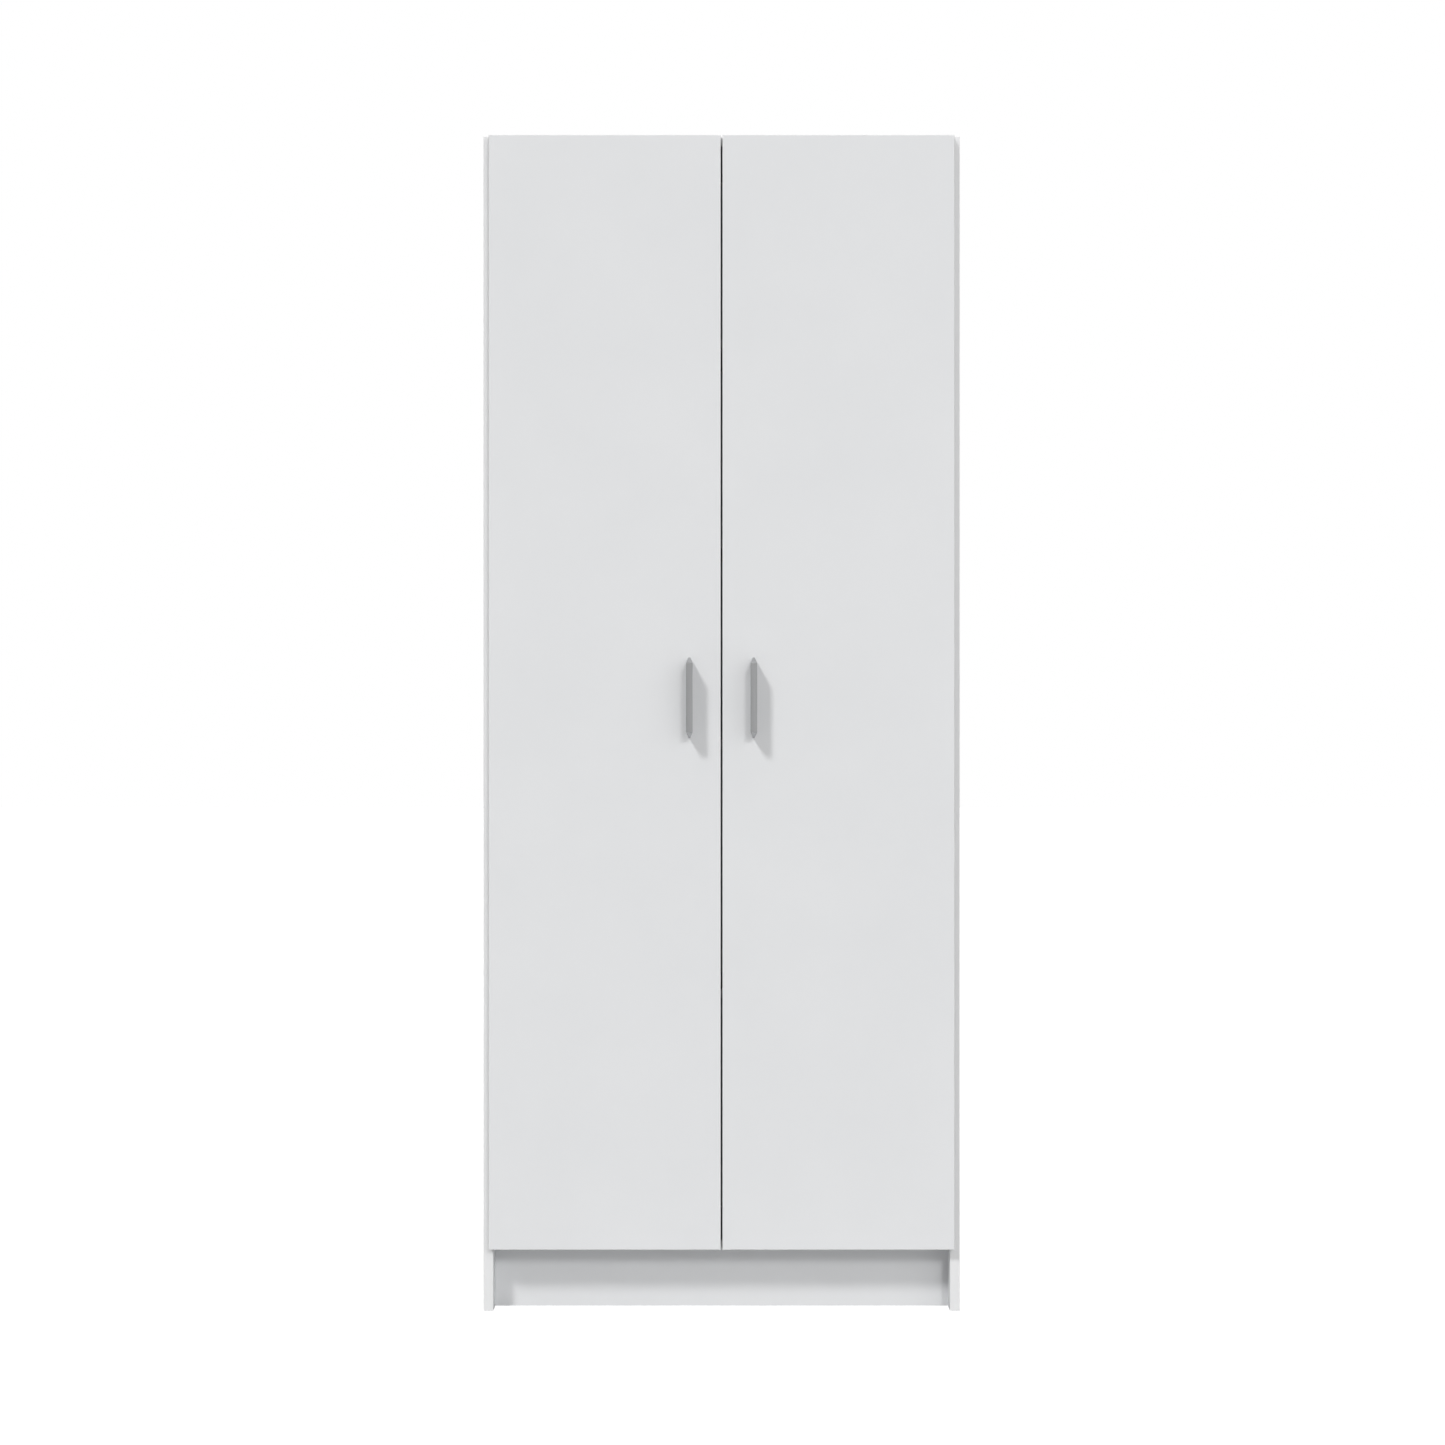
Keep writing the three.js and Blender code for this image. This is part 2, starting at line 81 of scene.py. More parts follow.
class Edge(Enum):
    """One edge face of a board: the axis it faces along, and which way."""

    LEFT = (Axis.X, -1)
    RIGHT = (Axis.X, 1)
    FRONT = (Axis.Y, -1)
    REAR = (Axis.Y, 1)
    BOTTOM = (Axis.Z, -1)
    TOP = (Axis.Z, 1)


class Side(Enum):
    """The left or right half of the cabinet, as the sign of its X."""

    LEFT = -1
    RIGHT = 1

    @property
    def word(self) -> str:
        """The side's name as the nodes have it."""
        return self.name.lower()

    @property
    def door_body(self) -> str:
        """The body that this side's door moves with."""
        return f"{self.word}_door"

    @property
    def links_body(self) -> str:
        """The body that this side's hinge links move with."""
        return f"{self.word}_hinge_links"

    @property
    def inner_edge(self) -> Edge:
        """The edge of this side's pieces that faces the middle of the cabinet."""
        return Edge.RIGHT if self is Side.LEFT else Edge.LEFT

    @property
    def outer_edge(self) -> Edge:
        """The edge of this side's pieces that faces away from the middle."""
        return Edge.LEFT if self is Side.LEFT else Edge.RIGHT


class Slot(Enum):
    """The record's material slots."""

    LAMINATE = "laminate"
    HARDBOARD = "hardboard"
    HANDLE = "handle"
    HINGE = "hinge_steel"
    SCREW = "screw_zinc"
    PLASTIC = "plastic"


# ---- shapes -------------------------------------------------------------------------------------
def middle_of(node: str) -> Vector:
    """Returns the middle of a node's box.

    Args:
        node: the node's name.

    Returns:
        The middle.
    """
    low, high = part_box(node)
    return (low + high) / 2


def turn_z_to(direction: Vector, origin: Vector | None = None) -> Matrix:
    """Returns the placement that takes +Z to a direction.

    Args:
        direction: where +Z points afterwards.
        origin: where the local origin goes.

    Returns:
        The 4x4 placement.
    """
    turn = direction.to_track_quat("Z", "Y").to_matrix().to_4x4()
    return Matrix.Translation(origin or Vector()) @ turn


class Shape:
    """A closed mesh being worked, with its place in its vertices."""

    def __init__(self) -> None:
        """Starts an empty shape."""
        self.bm = bmesh.new()

    @classmethod
    def block(cls, low: Vector, high: Vector) -> "Shape":
        """Returns the block between two corners.

        Args:
            low: the lowest corner.
            high: the highest corner.

        Returns:
            The block.
        """
        shape = cls()
        place = Matrix.Translation((low + high) / 2) @ Matrix.Diagonal((*(high - low), 1.0))
        bmesh.ops.create_cube(shape.bm, size=1.0, matrix=place)
        return shape

    @classmethod
    def rod(
        cls, centre: Vector, axis: Axis, radius: float, length: float, sides: int = 32
    ) -> "Shape":
        """Returns a round rod.

        Args:
            centre: its middle.
            axis: the axis it lies along.
            radius: its radius.
            length: its whole length.
            sides: how many sides stand for the round.

        Returns:
            The rod, with a smooth wall.
        """
        shape = cls()
        bmesh.ops.create_cone(
            shape.bm, cap_ends=True, segments=sides, radius1=radius, radius2=radius,
            depth=length, matrix=turn_z_to(axis.vector, centre),
        )
        for face in shape.bm.faces:
            face.smooth = len(face.verts) == 4
        return shape

    @classmethod
    def turned(cls, profile: Sequence[Point2], place: Matrix, sides: int = 32) -> "Shape":
        """Returns a piece turned about its local Z.

        Args:
            profile: points of (radius, height), from the axis and back to it.
            place: where the piece goes.
            sides: how many steps make the full turn.

        Returns:
            The turned piece.
        """
        shape = cls()
        verts = [shape.bm.verts.new((radius, 0.0, height)) for radius, height in profile]
        edges = [shape.bm.edges.new(pair) for pair in zip(verts, verts[1:])]
        bmesh.ops.spin(
            shape.bm, geom=verts + edges, cent=(0, 0, 0), axis=(0, 0, 1), dvec=(0, 0, 0),
            angle=math.tau, steps=sides, use_merge=True, use_duplicate=False,
        )
        bmesh.ops.remove_doubles(shape.bm, verts=shape.bm.verts, dist=TOUCH / 10)
        bmesh.ops.dissolve_degenerate(shape.bm, edges=shape.bm.edges, dist=TOUCH / 10)
        for face in shape.bm.faces:
            face.smooth = True
        return shape.moved(place).outward()

    @classmethod
    def prism(
        cls, outline: Iterable[Point2], half_height: float, place: Matrix | None = None
    ) -> "Shape":
        """Returns a prism over an outline, centred on its local Z = 0.

        Args:
            outline: the corners, in order.
            half_height: half its height along Z.
            place: where the prism goes.

        Returns:
            The prism.
        """
        shape = cls()
        verts = [shape.bm.verts.new((x, y, -half_height)) for x, y in outline]
        face = shape.bm.faces.new(verts)
        raised = bmesh.ops.extrude_face_region(shape.bm, geom=[face])["geom"]
        tops = [item for item in raised if isinstance(item, bmesh.types.BMVert)]
        bmesh.ops.translate(shape.bm, verts=tops, vec=(0, 0, 2 * half_height))
        return shape.moved(place or Matrix.Identity(4)).outward()

    @classmethod
    def gathered(cls, shapes: Iterable["Shape"]) -> "Shape":
        """Returns shapes that lie apart, as one.

        Args:
            shapes: the shapes, which are used up.

        Returns:
            One shape that holds them all.
        """
        whole = cls()
        for shape in shapes:
            mesh = shape.mesh("gathered")
            whole.bm.from_mesh(mesh)
            bpy.data.meshes.remove(mesh)
        return whole

    def outward(self) -> "Shape":
        """Turns every face outwards and returns the shape."""
        bmesh.ops.recalc_face_normals(self.bm, faces=self.bm.faces)
        return self

    def moved(self, place: Matrix) -> "Shape":
        """Moves the shape, turning its faces back out if the placement mirrors it.

        Args:
            place: the placement.

        Returns:
            The same shape.
        """
        bmesh.ops.transform(self.bm, matrix=place, verts=self.bm.verts)
        if place.determinant() < 0:
            bmesh.ops.reverse_faces(self.bm, faces=self.bm.faces)
        return self

    def copy(self, place: Matrix) -> "Shape":
        """Returns a moved copy and leaves this shape alone.

        Args:
            place: the placement of the copy.

        Returns:
            The copy.
        """
        twin = Shape()
        twin.bm = self.bm.copy()
        return twin.moved(place)

    def rounded(
        self, radius: float, steps: int = 3, where: Callable[[bmesh.types.BMEdge], bool] | None = None
    ) -> "Shape":
        """Rounds edges that turn a corner.

        Args:
            radius: how far the rounding reaches from the edge.
            steps: how many faces make it.
            where: says which edges; all of the crisp ones if it is left out.

        Returns:
            The same shape.
        """
        self.bm.normal_update()
        edges = [
            edge for edge in self.bm.edges
            if edge.is_manifold and edge.calc_face_angle(0.0) > SHARP and (where is None or where(edge))
        ]
        made = bmesh.ops.bevel(
            self.bm, geom=edges, offset=radius, offset_type="OFFSET", segments=steps, profile=0.5,
            affect="EDGES", clamp_overlap=True, material=-1,
        )
        for face in made["faces"]:
            face.smooth = True
        return self

    def cut(self, *tools: "Shape") -> "Shape":
        """Cuts tools out of the shape.

        Args:
            tools: the shapes to take away, which are used up.

        Returns:
            The same shape.
        """
        return self._boolean(tools, "DIFFERENCE")

    def joined(self, *tools: "Shape") -> "Shape":
        """Welds other shapes to the shape.

        Args:
            tools: the other shapes, which are used up.

        Returns:
            The same shape.
        """
        return self._boolean(tools, "UNION")

    def mesh(self, name: str) -> bpy.types.Mesh:
        """Writes the shape to a new mesh and frees the bmesh.

        Args:
            name: the mesh's name.

        Returns:
            The mesh.
        """
        self.bm.normal_update()
        mesh = bpy.data.meshes.new(name)
        self.bm.to_mesh(mesh)
        self.bm.free()
        return mesh

    def _boolean(self, tools: Sequence["Shape"], operation: str) -> "Shape":
        """Joins or cuts with an exact boolean.

        Args:
            tools: the other shapes.
            operation: DIFFERENCE or UNION.

        Returns:
            The same shape.
        """
        base = bpy.data.objects.new("work", self.mesh("work"))
        used = [base, *(bpy.data.objects.new("tool", tool.mesh("tool")) for tool in tools)]
        for item in used:
            bpy.context.scene.collection.objects.link(item)
        for tool in used[1:]:
            modifier = base.modifiers.new("boolean", "BOOLEAN")
            modifier.operation = operation
            modifier.solver = "EXACT"
            modifier.object = tool
        evaluated = base.evaluated_get(bpy.context.evaluated_depsgraph_get())
        result = bpy.data.meshes.new_from_object(evaluated)
        self.bm = bmesh.new()
        self.bm.from_mesh(result)
        bpy.data.meshes.remove(result)
        for item in used:
            data = item.data
            bpy.data.objects.remove(item)
            bpy.data.meshes.remove(data)
        bmesh.ops.remove_doubles(self.bm, verts=self.bm.verts, dist=TOUCH / 20)
        return self


def along(axis: Axis) -> Callable[[bmesh.types.BMEdge], bool]:
    """Returns a test for edges that run along an axis.

    Args:
        axis: the axis.

    Returns:
        The test, for Shape.rounded.
    """

    def runs(edge: bmesh.types.BMEdge) -> bool:
        """Says whether one edge runs along the axis.

        Args:
            edge: the edge.

        Returns:
            Whether it does.
        """
        span = edge.verts[1].co - edge.verts[0].co
        return abs(span[axis.value]) > 0.999 * span.length

    return runs


def on_plane(axis: Axis, level: float) -> Callable[[bmesh.types.BMEdge], bool]:
    """Returns a test for edges that lie in a plane.

    Args:
        axis: the axis that the plane stands across.
        level: where it crosses that axis.

    Returns:
        The test, for Shape.rounded.
    """

    def lies(edge: bmesh.types.BMEdge) -> bool:
        """Says whether one edge lies in the plane.

        Args:
            edge: the edge.

        Returns:
            Whether it does.
        """
        return all(abs(vert.co[axis.value] - level) < TOUCH for vert in edge.verts)

    return lies


def both(
    one: Callable[[bmesh.types.BMEdge], bool], other: Callable[[bmesh.types.BMEdge], bool]
) -> Callable[[bmesh.types.BMEdge], bool]:
    """Returns a test for edges that pass two tests.

    Args:
        one: the first test.
        other: the second test.

    Returns:
        The test, for Shape.rounded.
    """
    return lambda edge: one(edge) and other(edge)


def spread(start: float, end: float, pitch: float) -> list[float]:
    """Returns even places from start to end, no further apart than a pitch.

    Args:
        start: the first place.
        end: the last place.
        pitch: the most that two neighbours lie apart.

    Returns:
        The places.
    """
    steps = max(1, math.ceil(abs(end - start) / pitch))
    return [start + (end - start) * step / steps for step in range(steps + 1)]


# ---- node trees ---------------------------------------------------------------------------------
class NodeSheet:
    """Shorthand for filling one node tree."""

    def __init__(self, tree: bpy.types.NodeTree) -> None:
        """Takes the tree to fill.

        Args:
            tree: the node tree of a material, a world or a group.
        """
        self.tree = tree

    def add(self, kind: str, inputs: dict | None = None, **settings: object) -> bpy.types.Node:
        """Adds a node and fills its inputs.

        Args:
            kind: the node's type.
            inputs: socket name or number to a value, or to the socket that feeds it.
            settings: the node's own settings.

        Returns:
            The node.
        """
        node = self.tree.nodes.new(kind)
        for name, value in settings.items():
            setattr(node, name, value)
        for name, value in (inputs or {}).items():
            if isinstance(value, bpy.types.NodeSocket):
                self.tree.links.new(value, node.inputs[name])
            else:
                node.inputs[name].default_value = value
        return node

    def ranged(
        self, value: bpy.types.NodeSocket, source: Point2, target: Point2
    ) -> bpy.types.NodeSocket:
        """Returns a value taken from one range to another, held at both ends.

        Args:
            value: the socket with the value.
            source: the range that it is read from.
            target: the range that it is taken to.

        Returns:
            The result's socket.
        """
        inputs = {
            "Value": value, "From Min": source[0], "From Max": source[1],
            "To Min": target[0], "To Max": target[1],
        }
        return self.add("ShaderNodeMapRange", inputs).outputs["Result"]

    def times(
        self, one: bpy.types.NodeSocket, other: bpy.types.NodeSocket | float
    ) -> bpy.types.NodeSocket:
        """Returns the product of two values.

        Args:
            one: a socket.
            other: a socket or a number.

        Returns:
            The product's socket.
        """
        return self.add("ShaderNodeMath", {0: one, 1: other}, operation="MULTIPLY").outputs[0]

    def mixed(
        self,
        share: bpy.types.NodeSocket,
        one: bpy.types.NodeSocket | Colour,
        other: bpy.types.NodeSocket | Colour,
    ) -> bpy.types.NodeSocket:
        """Returns a mix of two colours.

        Args:
            share: how much of the second colour shows.
            one: the first colour.
            other: the second colour.

        Returns:
            The mix's socket.
        """
        node = self.add("ShaderNodeMix", data_type="RGBA")
        sockets = {"Factor_Float": share, "A_Color": one, "B_Color": other}
        for socket in node.inputs:
            value = sockets.get(socket.identifier)
            if isinstance(value, bpy.types.NodeSocket):
                self.tree.links.new(value, socket)
            elif value is not None:
                socket.default_value = (*value, 1.0)
        return next(socket for socket in node.outputs if socket.identifier == "Result_Color")

    def noise(
        self, vector: bpy.types.NodeSocket, scale: bpy.types.NodeSocket | float, detail: float = 3.0
    ) -> bpy.types.NodeSocket:
        """Returns smooth noise.

        Args:
            vector: the coordinates.
            scale: the pattern's scale, a number or a socket.
            detail: how many finer layers it has.

        Returns:
            The noise's socket, from 0 to 1.
        """
        inputs = {"Vector": vector, "Scale": scale, "Detail": detail, "Roughness": 0.6}
        return self.add("ShaderNodeTexNoise", inputs).outputs["Fac"]


class EffectGroup:
    """A node group that several finishes share, made the first time it is asked for."""

    name = ""
    inputs: dict[str, str] = {}
    outputs: dict[str, str] = {}

    def tree(self) -> bpy.types.NodeTree:
        """Returns the group's tree."""
        known = bpy.data.node_groups.get(self.name)
        if known:
            return known
        tree = bpy.data.node_groups.new(self.name, "ShaderNodeTree")
        for in_out, sockets in (("INPUT", self.inputs), ("OUTPUT", self.outputs)):
            for name, kind in sockets.items():
                tree.interface.new_socket(name, in_out=in_out, socket_type=f"NodeSocket{kind}")
        sheet = NodeSheet(tree)
        entry = sheet.add("NodeGroupInput")
        self.fill(sheet, entry.outputs, sheet.add("NodeGroupOutput"))
        return tree

    def fill(
        self, sheet: NodeSheet, given: bpy.types.NodeOutputs, result: bpy.types.Node
    ) -> None:
        """Fills the tree.

        Args:
            sheet: the tree's sheet.
            given: the sockets of the group's inputs.
            result: the group's output node.
        """
        raise NotImplementedError

    def place(self, sheet: NodeSheet, inputs: dict) -> bpy.types.NodeOutputs:
        """Puts the group in a material.

        Args:
            sheet: the material's sheet.
            inputs: the group's input values.

        Returns:
            The group node's outputs.
        """
        node = sheet.add("ShaderNodeGroup", node_tree=self.tree())
        for name, value in inputs.items():
            if isinstance(value, bpy.types.NodeSocket):
                sheet.tree.links.new(value, node.inputs[name])
            else:
                node.inputs[name].default_value = value
        return node.outputs


class Pebble(EffectGroup):
    """A pressed or moulded surface: small pebbles, and broad unevenness of tone."""

    name = "pebble"
    inputs = {"Vector": "Vector", "Scale": "Float", "Broad Scale": "Float"}
    outputs = {"Height": "Float", "Tone": "Float"}

    def fill(
        self, sheet: NodeSheet, given: bpy.types.NodeOutputs, result: bpy.types.Node
    ) -> None:
        """Fills the tree with a cell pattern softened by noise, and a broad noise.

        Args:
            sheet: the tree's sheet.
            given: the sockets of the group's inputs.
            result: the group's output node.
        """
        inputs = {"Vector": given["Vector"], "Scale": given["Scale"]}
        cells = sheet.add("ShaderNodeTexVoronoi", inputs, feature="SMOOTH_F1")
        cells.inputs["Smoothness"].default_value = 0.6
        fine = sheet.noise(given["Vector"], given["Scale"], 2.0)
        height = sheet.times(cells.outputs["Distance"], fine)
        broad = sheet.noise(given["Vector"], given["Broad Scale"], 4.0)
        sheet.tree.links.new(height, result.inputs["Height"])
        sheet.tree.links.new(sheet.ranged(broad, (0.35, 0.65), (0.0, 1.0)), result.inputs["Tone"])


class Dust(EffectGroup):
    """Fine dust that settles on faces that look up."""

    name = "dust"
    inputs = {"Vector": "Vector", "Amount": "Float"}
    outputs = {"Mask": "Float"}

    def fill(
        self, sheet: NodeSheet, given: bpy.types.NodeOutputs, result: bpy.types.Node
    ) -> None:
        """Fills the tree with an upward mask broken up by noise.

        Args:
            sheet: the tree's sheet.
            given: the sockets of the group's inputs.
            result: the group's output node.
        """
        geometry = sheet.add("ShaderNodeNewGeometry")
        normal = sheet.add("ShaderNodeSeparateXYZ", {"Vector": geometry.outputs["Normal"]})
        upward = sheet.ranged(normal.outputs["Z"], (0.7, 1.0), (0.0, 1.0))
        patches = sheet.ranged(sheet.noise(given["Vector"], 9.0, 6.0), (0.3, 0.7), (0.2, 1.0))
        specks = sheet.ranged(sheet.noise(given["Vector"], 1600.0, 1.0), (0.35, 0.75), (0.4, 1.0))
        mask = sheet.times(sheet.times(upward, patches), sheet.times(specks, given["Amount"]))
        sheet.tree.links.new(mask, result.inputs["Mask"])


class Brushing(EffectGroup):
    """Fine parallel lines along one direction, which the vector's stretch sets."""

    name = "brushing"
    inputs = {"Vector": "Vector", "Scale": "Float"}
    outputs = {"Lines": "Float", "Smear": "Float"}

    def fill(
        self, sheet: NodeSheet, given: bpy.types.NodeOutputs, result: bpy.types.Node
    ) -> None:
        """Fills the tree with fine lines and a slower smear of gloss.

        Args:
            sheet: the tree's sheet.
            given: the sockets of the group's inputs.
            result: the group's output node.
        """
        lines = sheet.noise(given["Vector"], given["Scale"], 4.0)
        slow = sheet.times(given["Scale"], 0.06)
        smear = sheet.noise(given["Vector"], slow, 3.0)
        sheet.tree.links.new(lines, result.inputs["Lines"])
        sheet.tree.links.new(sheet.ranged(smear, (0.3, 0.7), (0.0, 1.0)), result.inputs["Smear"])


PEBBLE = Pebble()
DUST = Dust()
BRUSHING = Brushing()


# ---- finishes -----------------------------------------------------------------------------------
@dataclass(frozen=True)
class Finish:
    """A surface finish: what every one of them has."""

    name: str
    colour: Colour
    other_colour: Colour
    gloss: Point2  # lowest and highest roughness
    bump: float = 0.1
    bump_depth: float = 0.05 * MM

    def material(self) -> bpy.types.Material:
        """Returns the finish's material, made the first time it is asked for."""
        known = bpy.data.materials.get(self.name)
        if known:
            return known
        material = bpy.data.materials.new(self.name)
        material.use_nodes = True
        material.node_tree.nodes.clear()
        sheet = NodeSheet(material.node_tree)
        shader = sheet.add("ShaderNodeBsdfPrincipled")
        output = sheet.add("ShaderNodeOutputMaterial")
        sheet.tree.links.new(shader.outputs["BSDF"], output.inputs["Surface"])
        self.dress(sheet, shader)
        return material

    def dress(self, sheet: NodeSheet, shader: bpy.types.Node) -> None:
        """Fills the shader's sockets.

        Args:
            sheet: the material's sheet.
            shader: the Principled shader.
        """
        raise NotImplementedError

    def coordinates(self, sheet: NodeSheet, stretch: Colour = (1.0, 1.0, 1.0)) -> bpy.types.NodeSocket:
        """Returns Object coordinates, stretched.

        Args:
            sheet: the material's sheet.
            stretch: the scale along each axis.

        Returns:
            The vector's socket.
        """
        place = sheet.add("ShaderNodeTexCoord").outputs["Object"]
        return sheet.add("ShaderNodeMapping", {"Vector": place, "Scale": stretch}).outputs["Vector"]

    def surface(
        self, sheet: NodeSheet, shader: bpy.types.Node, colour: bpy.types.NodeSocket,
        gloss: bpy.types.NodeSocket, height: bpy.types.NodeSocket,
    ) -> None:
        """Feeds colour, roughness and bump to the shader.

        Args:
            sheet: the material's sheet.
            shader: the Principled shader.
            colour: the colour's socket.
            gloss: the roughness, from 0 to 1 over the finish's range.
            height: the bump's height.
        """
        inputs = {"Strength": self.bump, "Distance": self.bump_depth, "Height": height}
        relief = sheet.add("ShaderNodeBump", inputs)
        sheet.tree.links.new(colour, shader.inputs["Base Color"])
        sheet.tree.links.new(sheet.ranged(gloss, (0.0, 1.0), self.gloss), shader.inputs["Roughness"])
        sheet.tree.links.new(relief.outputs["Normal"], shader.inputs["Normal"])


@dataclass(frozen=True)
class Moulded(Finish):
    """Pressed laminate, edge tape or moulded plastic, with a little dust on top."""

    scale: float = 1500.0
    broad_scale: float = 5.0
    dust: float = 0.0
    dust_colour: Colour = (0.42, 0.40, 0.37)
    gloss_level: float = 0.5

    def dress(self, sheet: NodeSheet, shader: bpy.types.Node) -> None:
        """Fills the shader's sockets.

        Args:
            sheet: the material's sheet.
            shader: the Principled shader.
        """
        vector = self.coordinates(sheet)
        inputs = {"Vector": vector, "Scale": self.scale, "Broad Scale": self.broad_scale}
        pebble = PEBBLE.place(sheet, inputs)
        mask = DUST.place(sheet, {"Vector": vector, "Amount": self.dust})["Mask"]
        plain = sheet.mixed(pebble["Tone"], self.colour, self.other_colour)
        colour = sheet.mixed(mask, plain, self.dust_colour)
        shader.inputs["Specular IOR Level"].default_value = self.gloss_level
        self.surface(sheet, shader, colour, pebble["Tone"], pebble["Height"])


@dataclass(frozen=True)
class Metal(Finish):
    """Brushed, plated or anodised metal."""

    scale: float = 2500.0
    stretch: Colour = (1.0, 1.0, 0.02)
    dust: float = 0.0
    tarnish: Colour = (0.30, 0.28, 0.26)

    def dress(self, sheet: NodeSheet, shader: bpy.types.Node) -> None:
        """Fills the shader's sockets.

        Args:
            sheet: the material's sheet.
            shader: the Principled shader.
        """
        brushed = self.coordinates(sheet, self.stretch)
        plain = self.coordinates(sheet)
        lines = BRUSHING.place(sheet, {"Vector": brushed, "Scale": self.scale})
        mask = DUST.place(sheet, {"Vector": plain, "Amount": self.dust})["Mask"]
        bright = sheet.mixed(lines["Smear"], self.colour, self.other_colour)
        colour = sheet.mixed(mask, bright, self.tarnish)
        shader.inputs["Metallic"].default_value = 1.0
        self.surface(sheet, shader, colour, lines["Smear"], lines["Lines"])


@dataclass(frozen=True)
class Chipboard(Finish):
    """The raw edge of particleboard: flat chips of wood in glue."""

    chip_scale: float = 420.0
    chip_stretch: Colour = (0.45, 0.45, 0.45)
    dark: Colour = (0.16, 0.095, 0.05)

    def dress(self, sheet: NodeSheet, shader: bpy.types.Node) -> None:
        """Fills the shader's sockets.

        Args:
            sheet: the material's sheet.
            shader: the Principled shader.
        """
        vector = self.coordinates(sheet, self.chip_stretch)
        chips = sheet.add("ShaderNodeTexVoronoi", {"Vector": vector, "Scale": self.chip_scale})
        tint = sheet.add("ShaderNodeSeparateColor", {"Color": chips.outputs["Color"]})
        gaps = sheet.ranged(chips.outputs["Distance"], (0.45, 0.8), (0.0, 1.0))
        fibres = sheet.noise(vector, self.chip_scale * 4.0, 4.0)
        wood = sheet.mixed(tint.outputs["Red"], self.colour, self.other_colour)
        colour = sheet.mixed(gaps, wood, self.dark)
        self.surface(sheet, shader, colour, fibres, sheet.times(fibres, chips.outputs["Distance"]))


@dataclass(frozen=True)
class Fibreboard(Finish):
    """The raw rear of hardboard: dark fibres, printed by the wire screen it was pressed on."""

    fibre_scale: float = 700.0
    screen_pitch: float = 1.1 * MM

    def dress(self, sheet: NodeSheet, shader: bpy.types.Node) -> None:
        """Fills the shader's sockets.

        Args:
            sheet: the material's sheet.
            shader: the Principled shader.
        """
        vector = self.coordinates(sheet)
        fibres = sheet.noise(vector, self.fibre_scale, 5.0)
        tone = sheet.ranged(sheet.noise(vector, 6.0, 5.0), (0.3, 0.7), (0.0, 1.0))
        place = sheet.add("ShaderNodeSeparateXYZ", {"Vector": vector})
        waves = []
        for axis in ("X", "Z"):
            phase = sheet.times(place.outputs[axis], math.tau / self.screen_pitch)
            waves.append(sheet.add("ShaderNodeMath", {0: phase}, operation="SINE").outputs[0])
        screen = sheet.ranged(sheet.times(waves[0], waves[1]), (-1.0, 1.0), (0.0, 1.0))
        flecks = sheet.ranged(fibres, (0.35, 0.7), (0.0, 1.0))
        colour = sheet.mixed(sheet.times(flecks, tone), self.colour, self.other_colour)
        relief = sheet.add("ShaderNodeMath", {0: screen, 1: fibres}, operation="ADD").outputs[0]
        self.surface(sheet, shader, colour, fibres, relief)


LAMINATE = Moulded(
    name="white_laminate", colour=(0.830, 0.839, 0.850), other_colour=(0.845, 0.853, 0.863),
    gloss=(0.40, 0.46), bump=0.16, dust=0.05, gloss_level=0.35,
)
EDGE_TAPE = Moulded(
    name="white_edge_tape", colour=(0.884, 0.888, 0.892), other_colour=(0.894, 0.898, 0.902),
    gloss=(0.31, 0.35), bump=0.06, scale=900.0, broad_scale=6.0, dust=0.01,
)
WHITE_PLASTIC = Moulded(
    name="white_plastic", colour=(0.80, 0.80, 0.79), other_colour=(0.84, 0.84, 0.83),
    gloss=(0.36, 0.46), bump=0.1, scale=2200.0, broad_scale=20.0,
)
CLEAR_GREY_RUBBER = Moulded(
    name="bumper_rubber", colour=(0.62, 0.62, 0.61), other_colour=(0.70, 0.70, 0.69),
    gloss=(0.30, 0.42), bump=0.1, scale=3000.0, broad_scale=120.0,
)
LACQUERED_BOARD = Moulded(
    name="white_lacquered_hardboard", colour=(0.80, 0.80, 0.79), other_colour=(0.83, 0.83, 0.82),
    gloss=(0.5, 0.6), bump=0.3, scale=800.0, broad_scale=4.0,
)
RAW_CHIPBOARD = Chipboard(
    name="raw_chipboard", colour=(0.42, 0.29, 0.17), other_colour=(0.60, 0.45, 0.29),
    gloss=(0.8, 0.95), bump=0.6, bump_depth=0.4 * MM,
)
RAW_HARDBOARD = Fibreboard(
    name="raw_hardboard", colour=(0.15, 0.085, 0.045), other_colour=(0.27, 0.165, 0.09),
    gloss=(0.62, 0.8), bump=0.5, bump_depth=0.15 * MM,
)
SATIN_ALUMINIUM = Metal(
    name="satin_aluminium", colour=(0.455, 0.460, 0.468), other_colour=(0.490, 0.495, 0.503),
    gloss=(0.36, 0.44), bump=0.12, bump_depth=0.03 * MM, stretch=(1.0, 1.0, 0.03),
)
NICKEL_STEEL = Metal(
    name="nickel_plated_steel", colour=(0.66, 0.64, 0.60), other_colour=(0.74, 0.72, 0.68),
    gloss=(0.16, 0.28), bump=0.06, scale=1800.0, stretch=(1.0, 0.1, 1.0),
)
ZINC = Metal(
    name="zinc_plated_steel", colour=(0.58, 0.60, 0.62), other_colour=(0.70, 0.71, 0.72),
    gloss=(0.28, 0.44), bump=0.1, scale=900.0, stretch=(1.0, 1.0, 1.0),
)


# ---- pieces -------------------------------------------------------------------------------------
@dataclass(frozen=True)
class Home:
    """Where a piece belongs: the body it moves with, its slot, and the CAD nodes it stands for."""

    body: str
    slot: Slot
    stands_for: tuple[str, ...] = ()


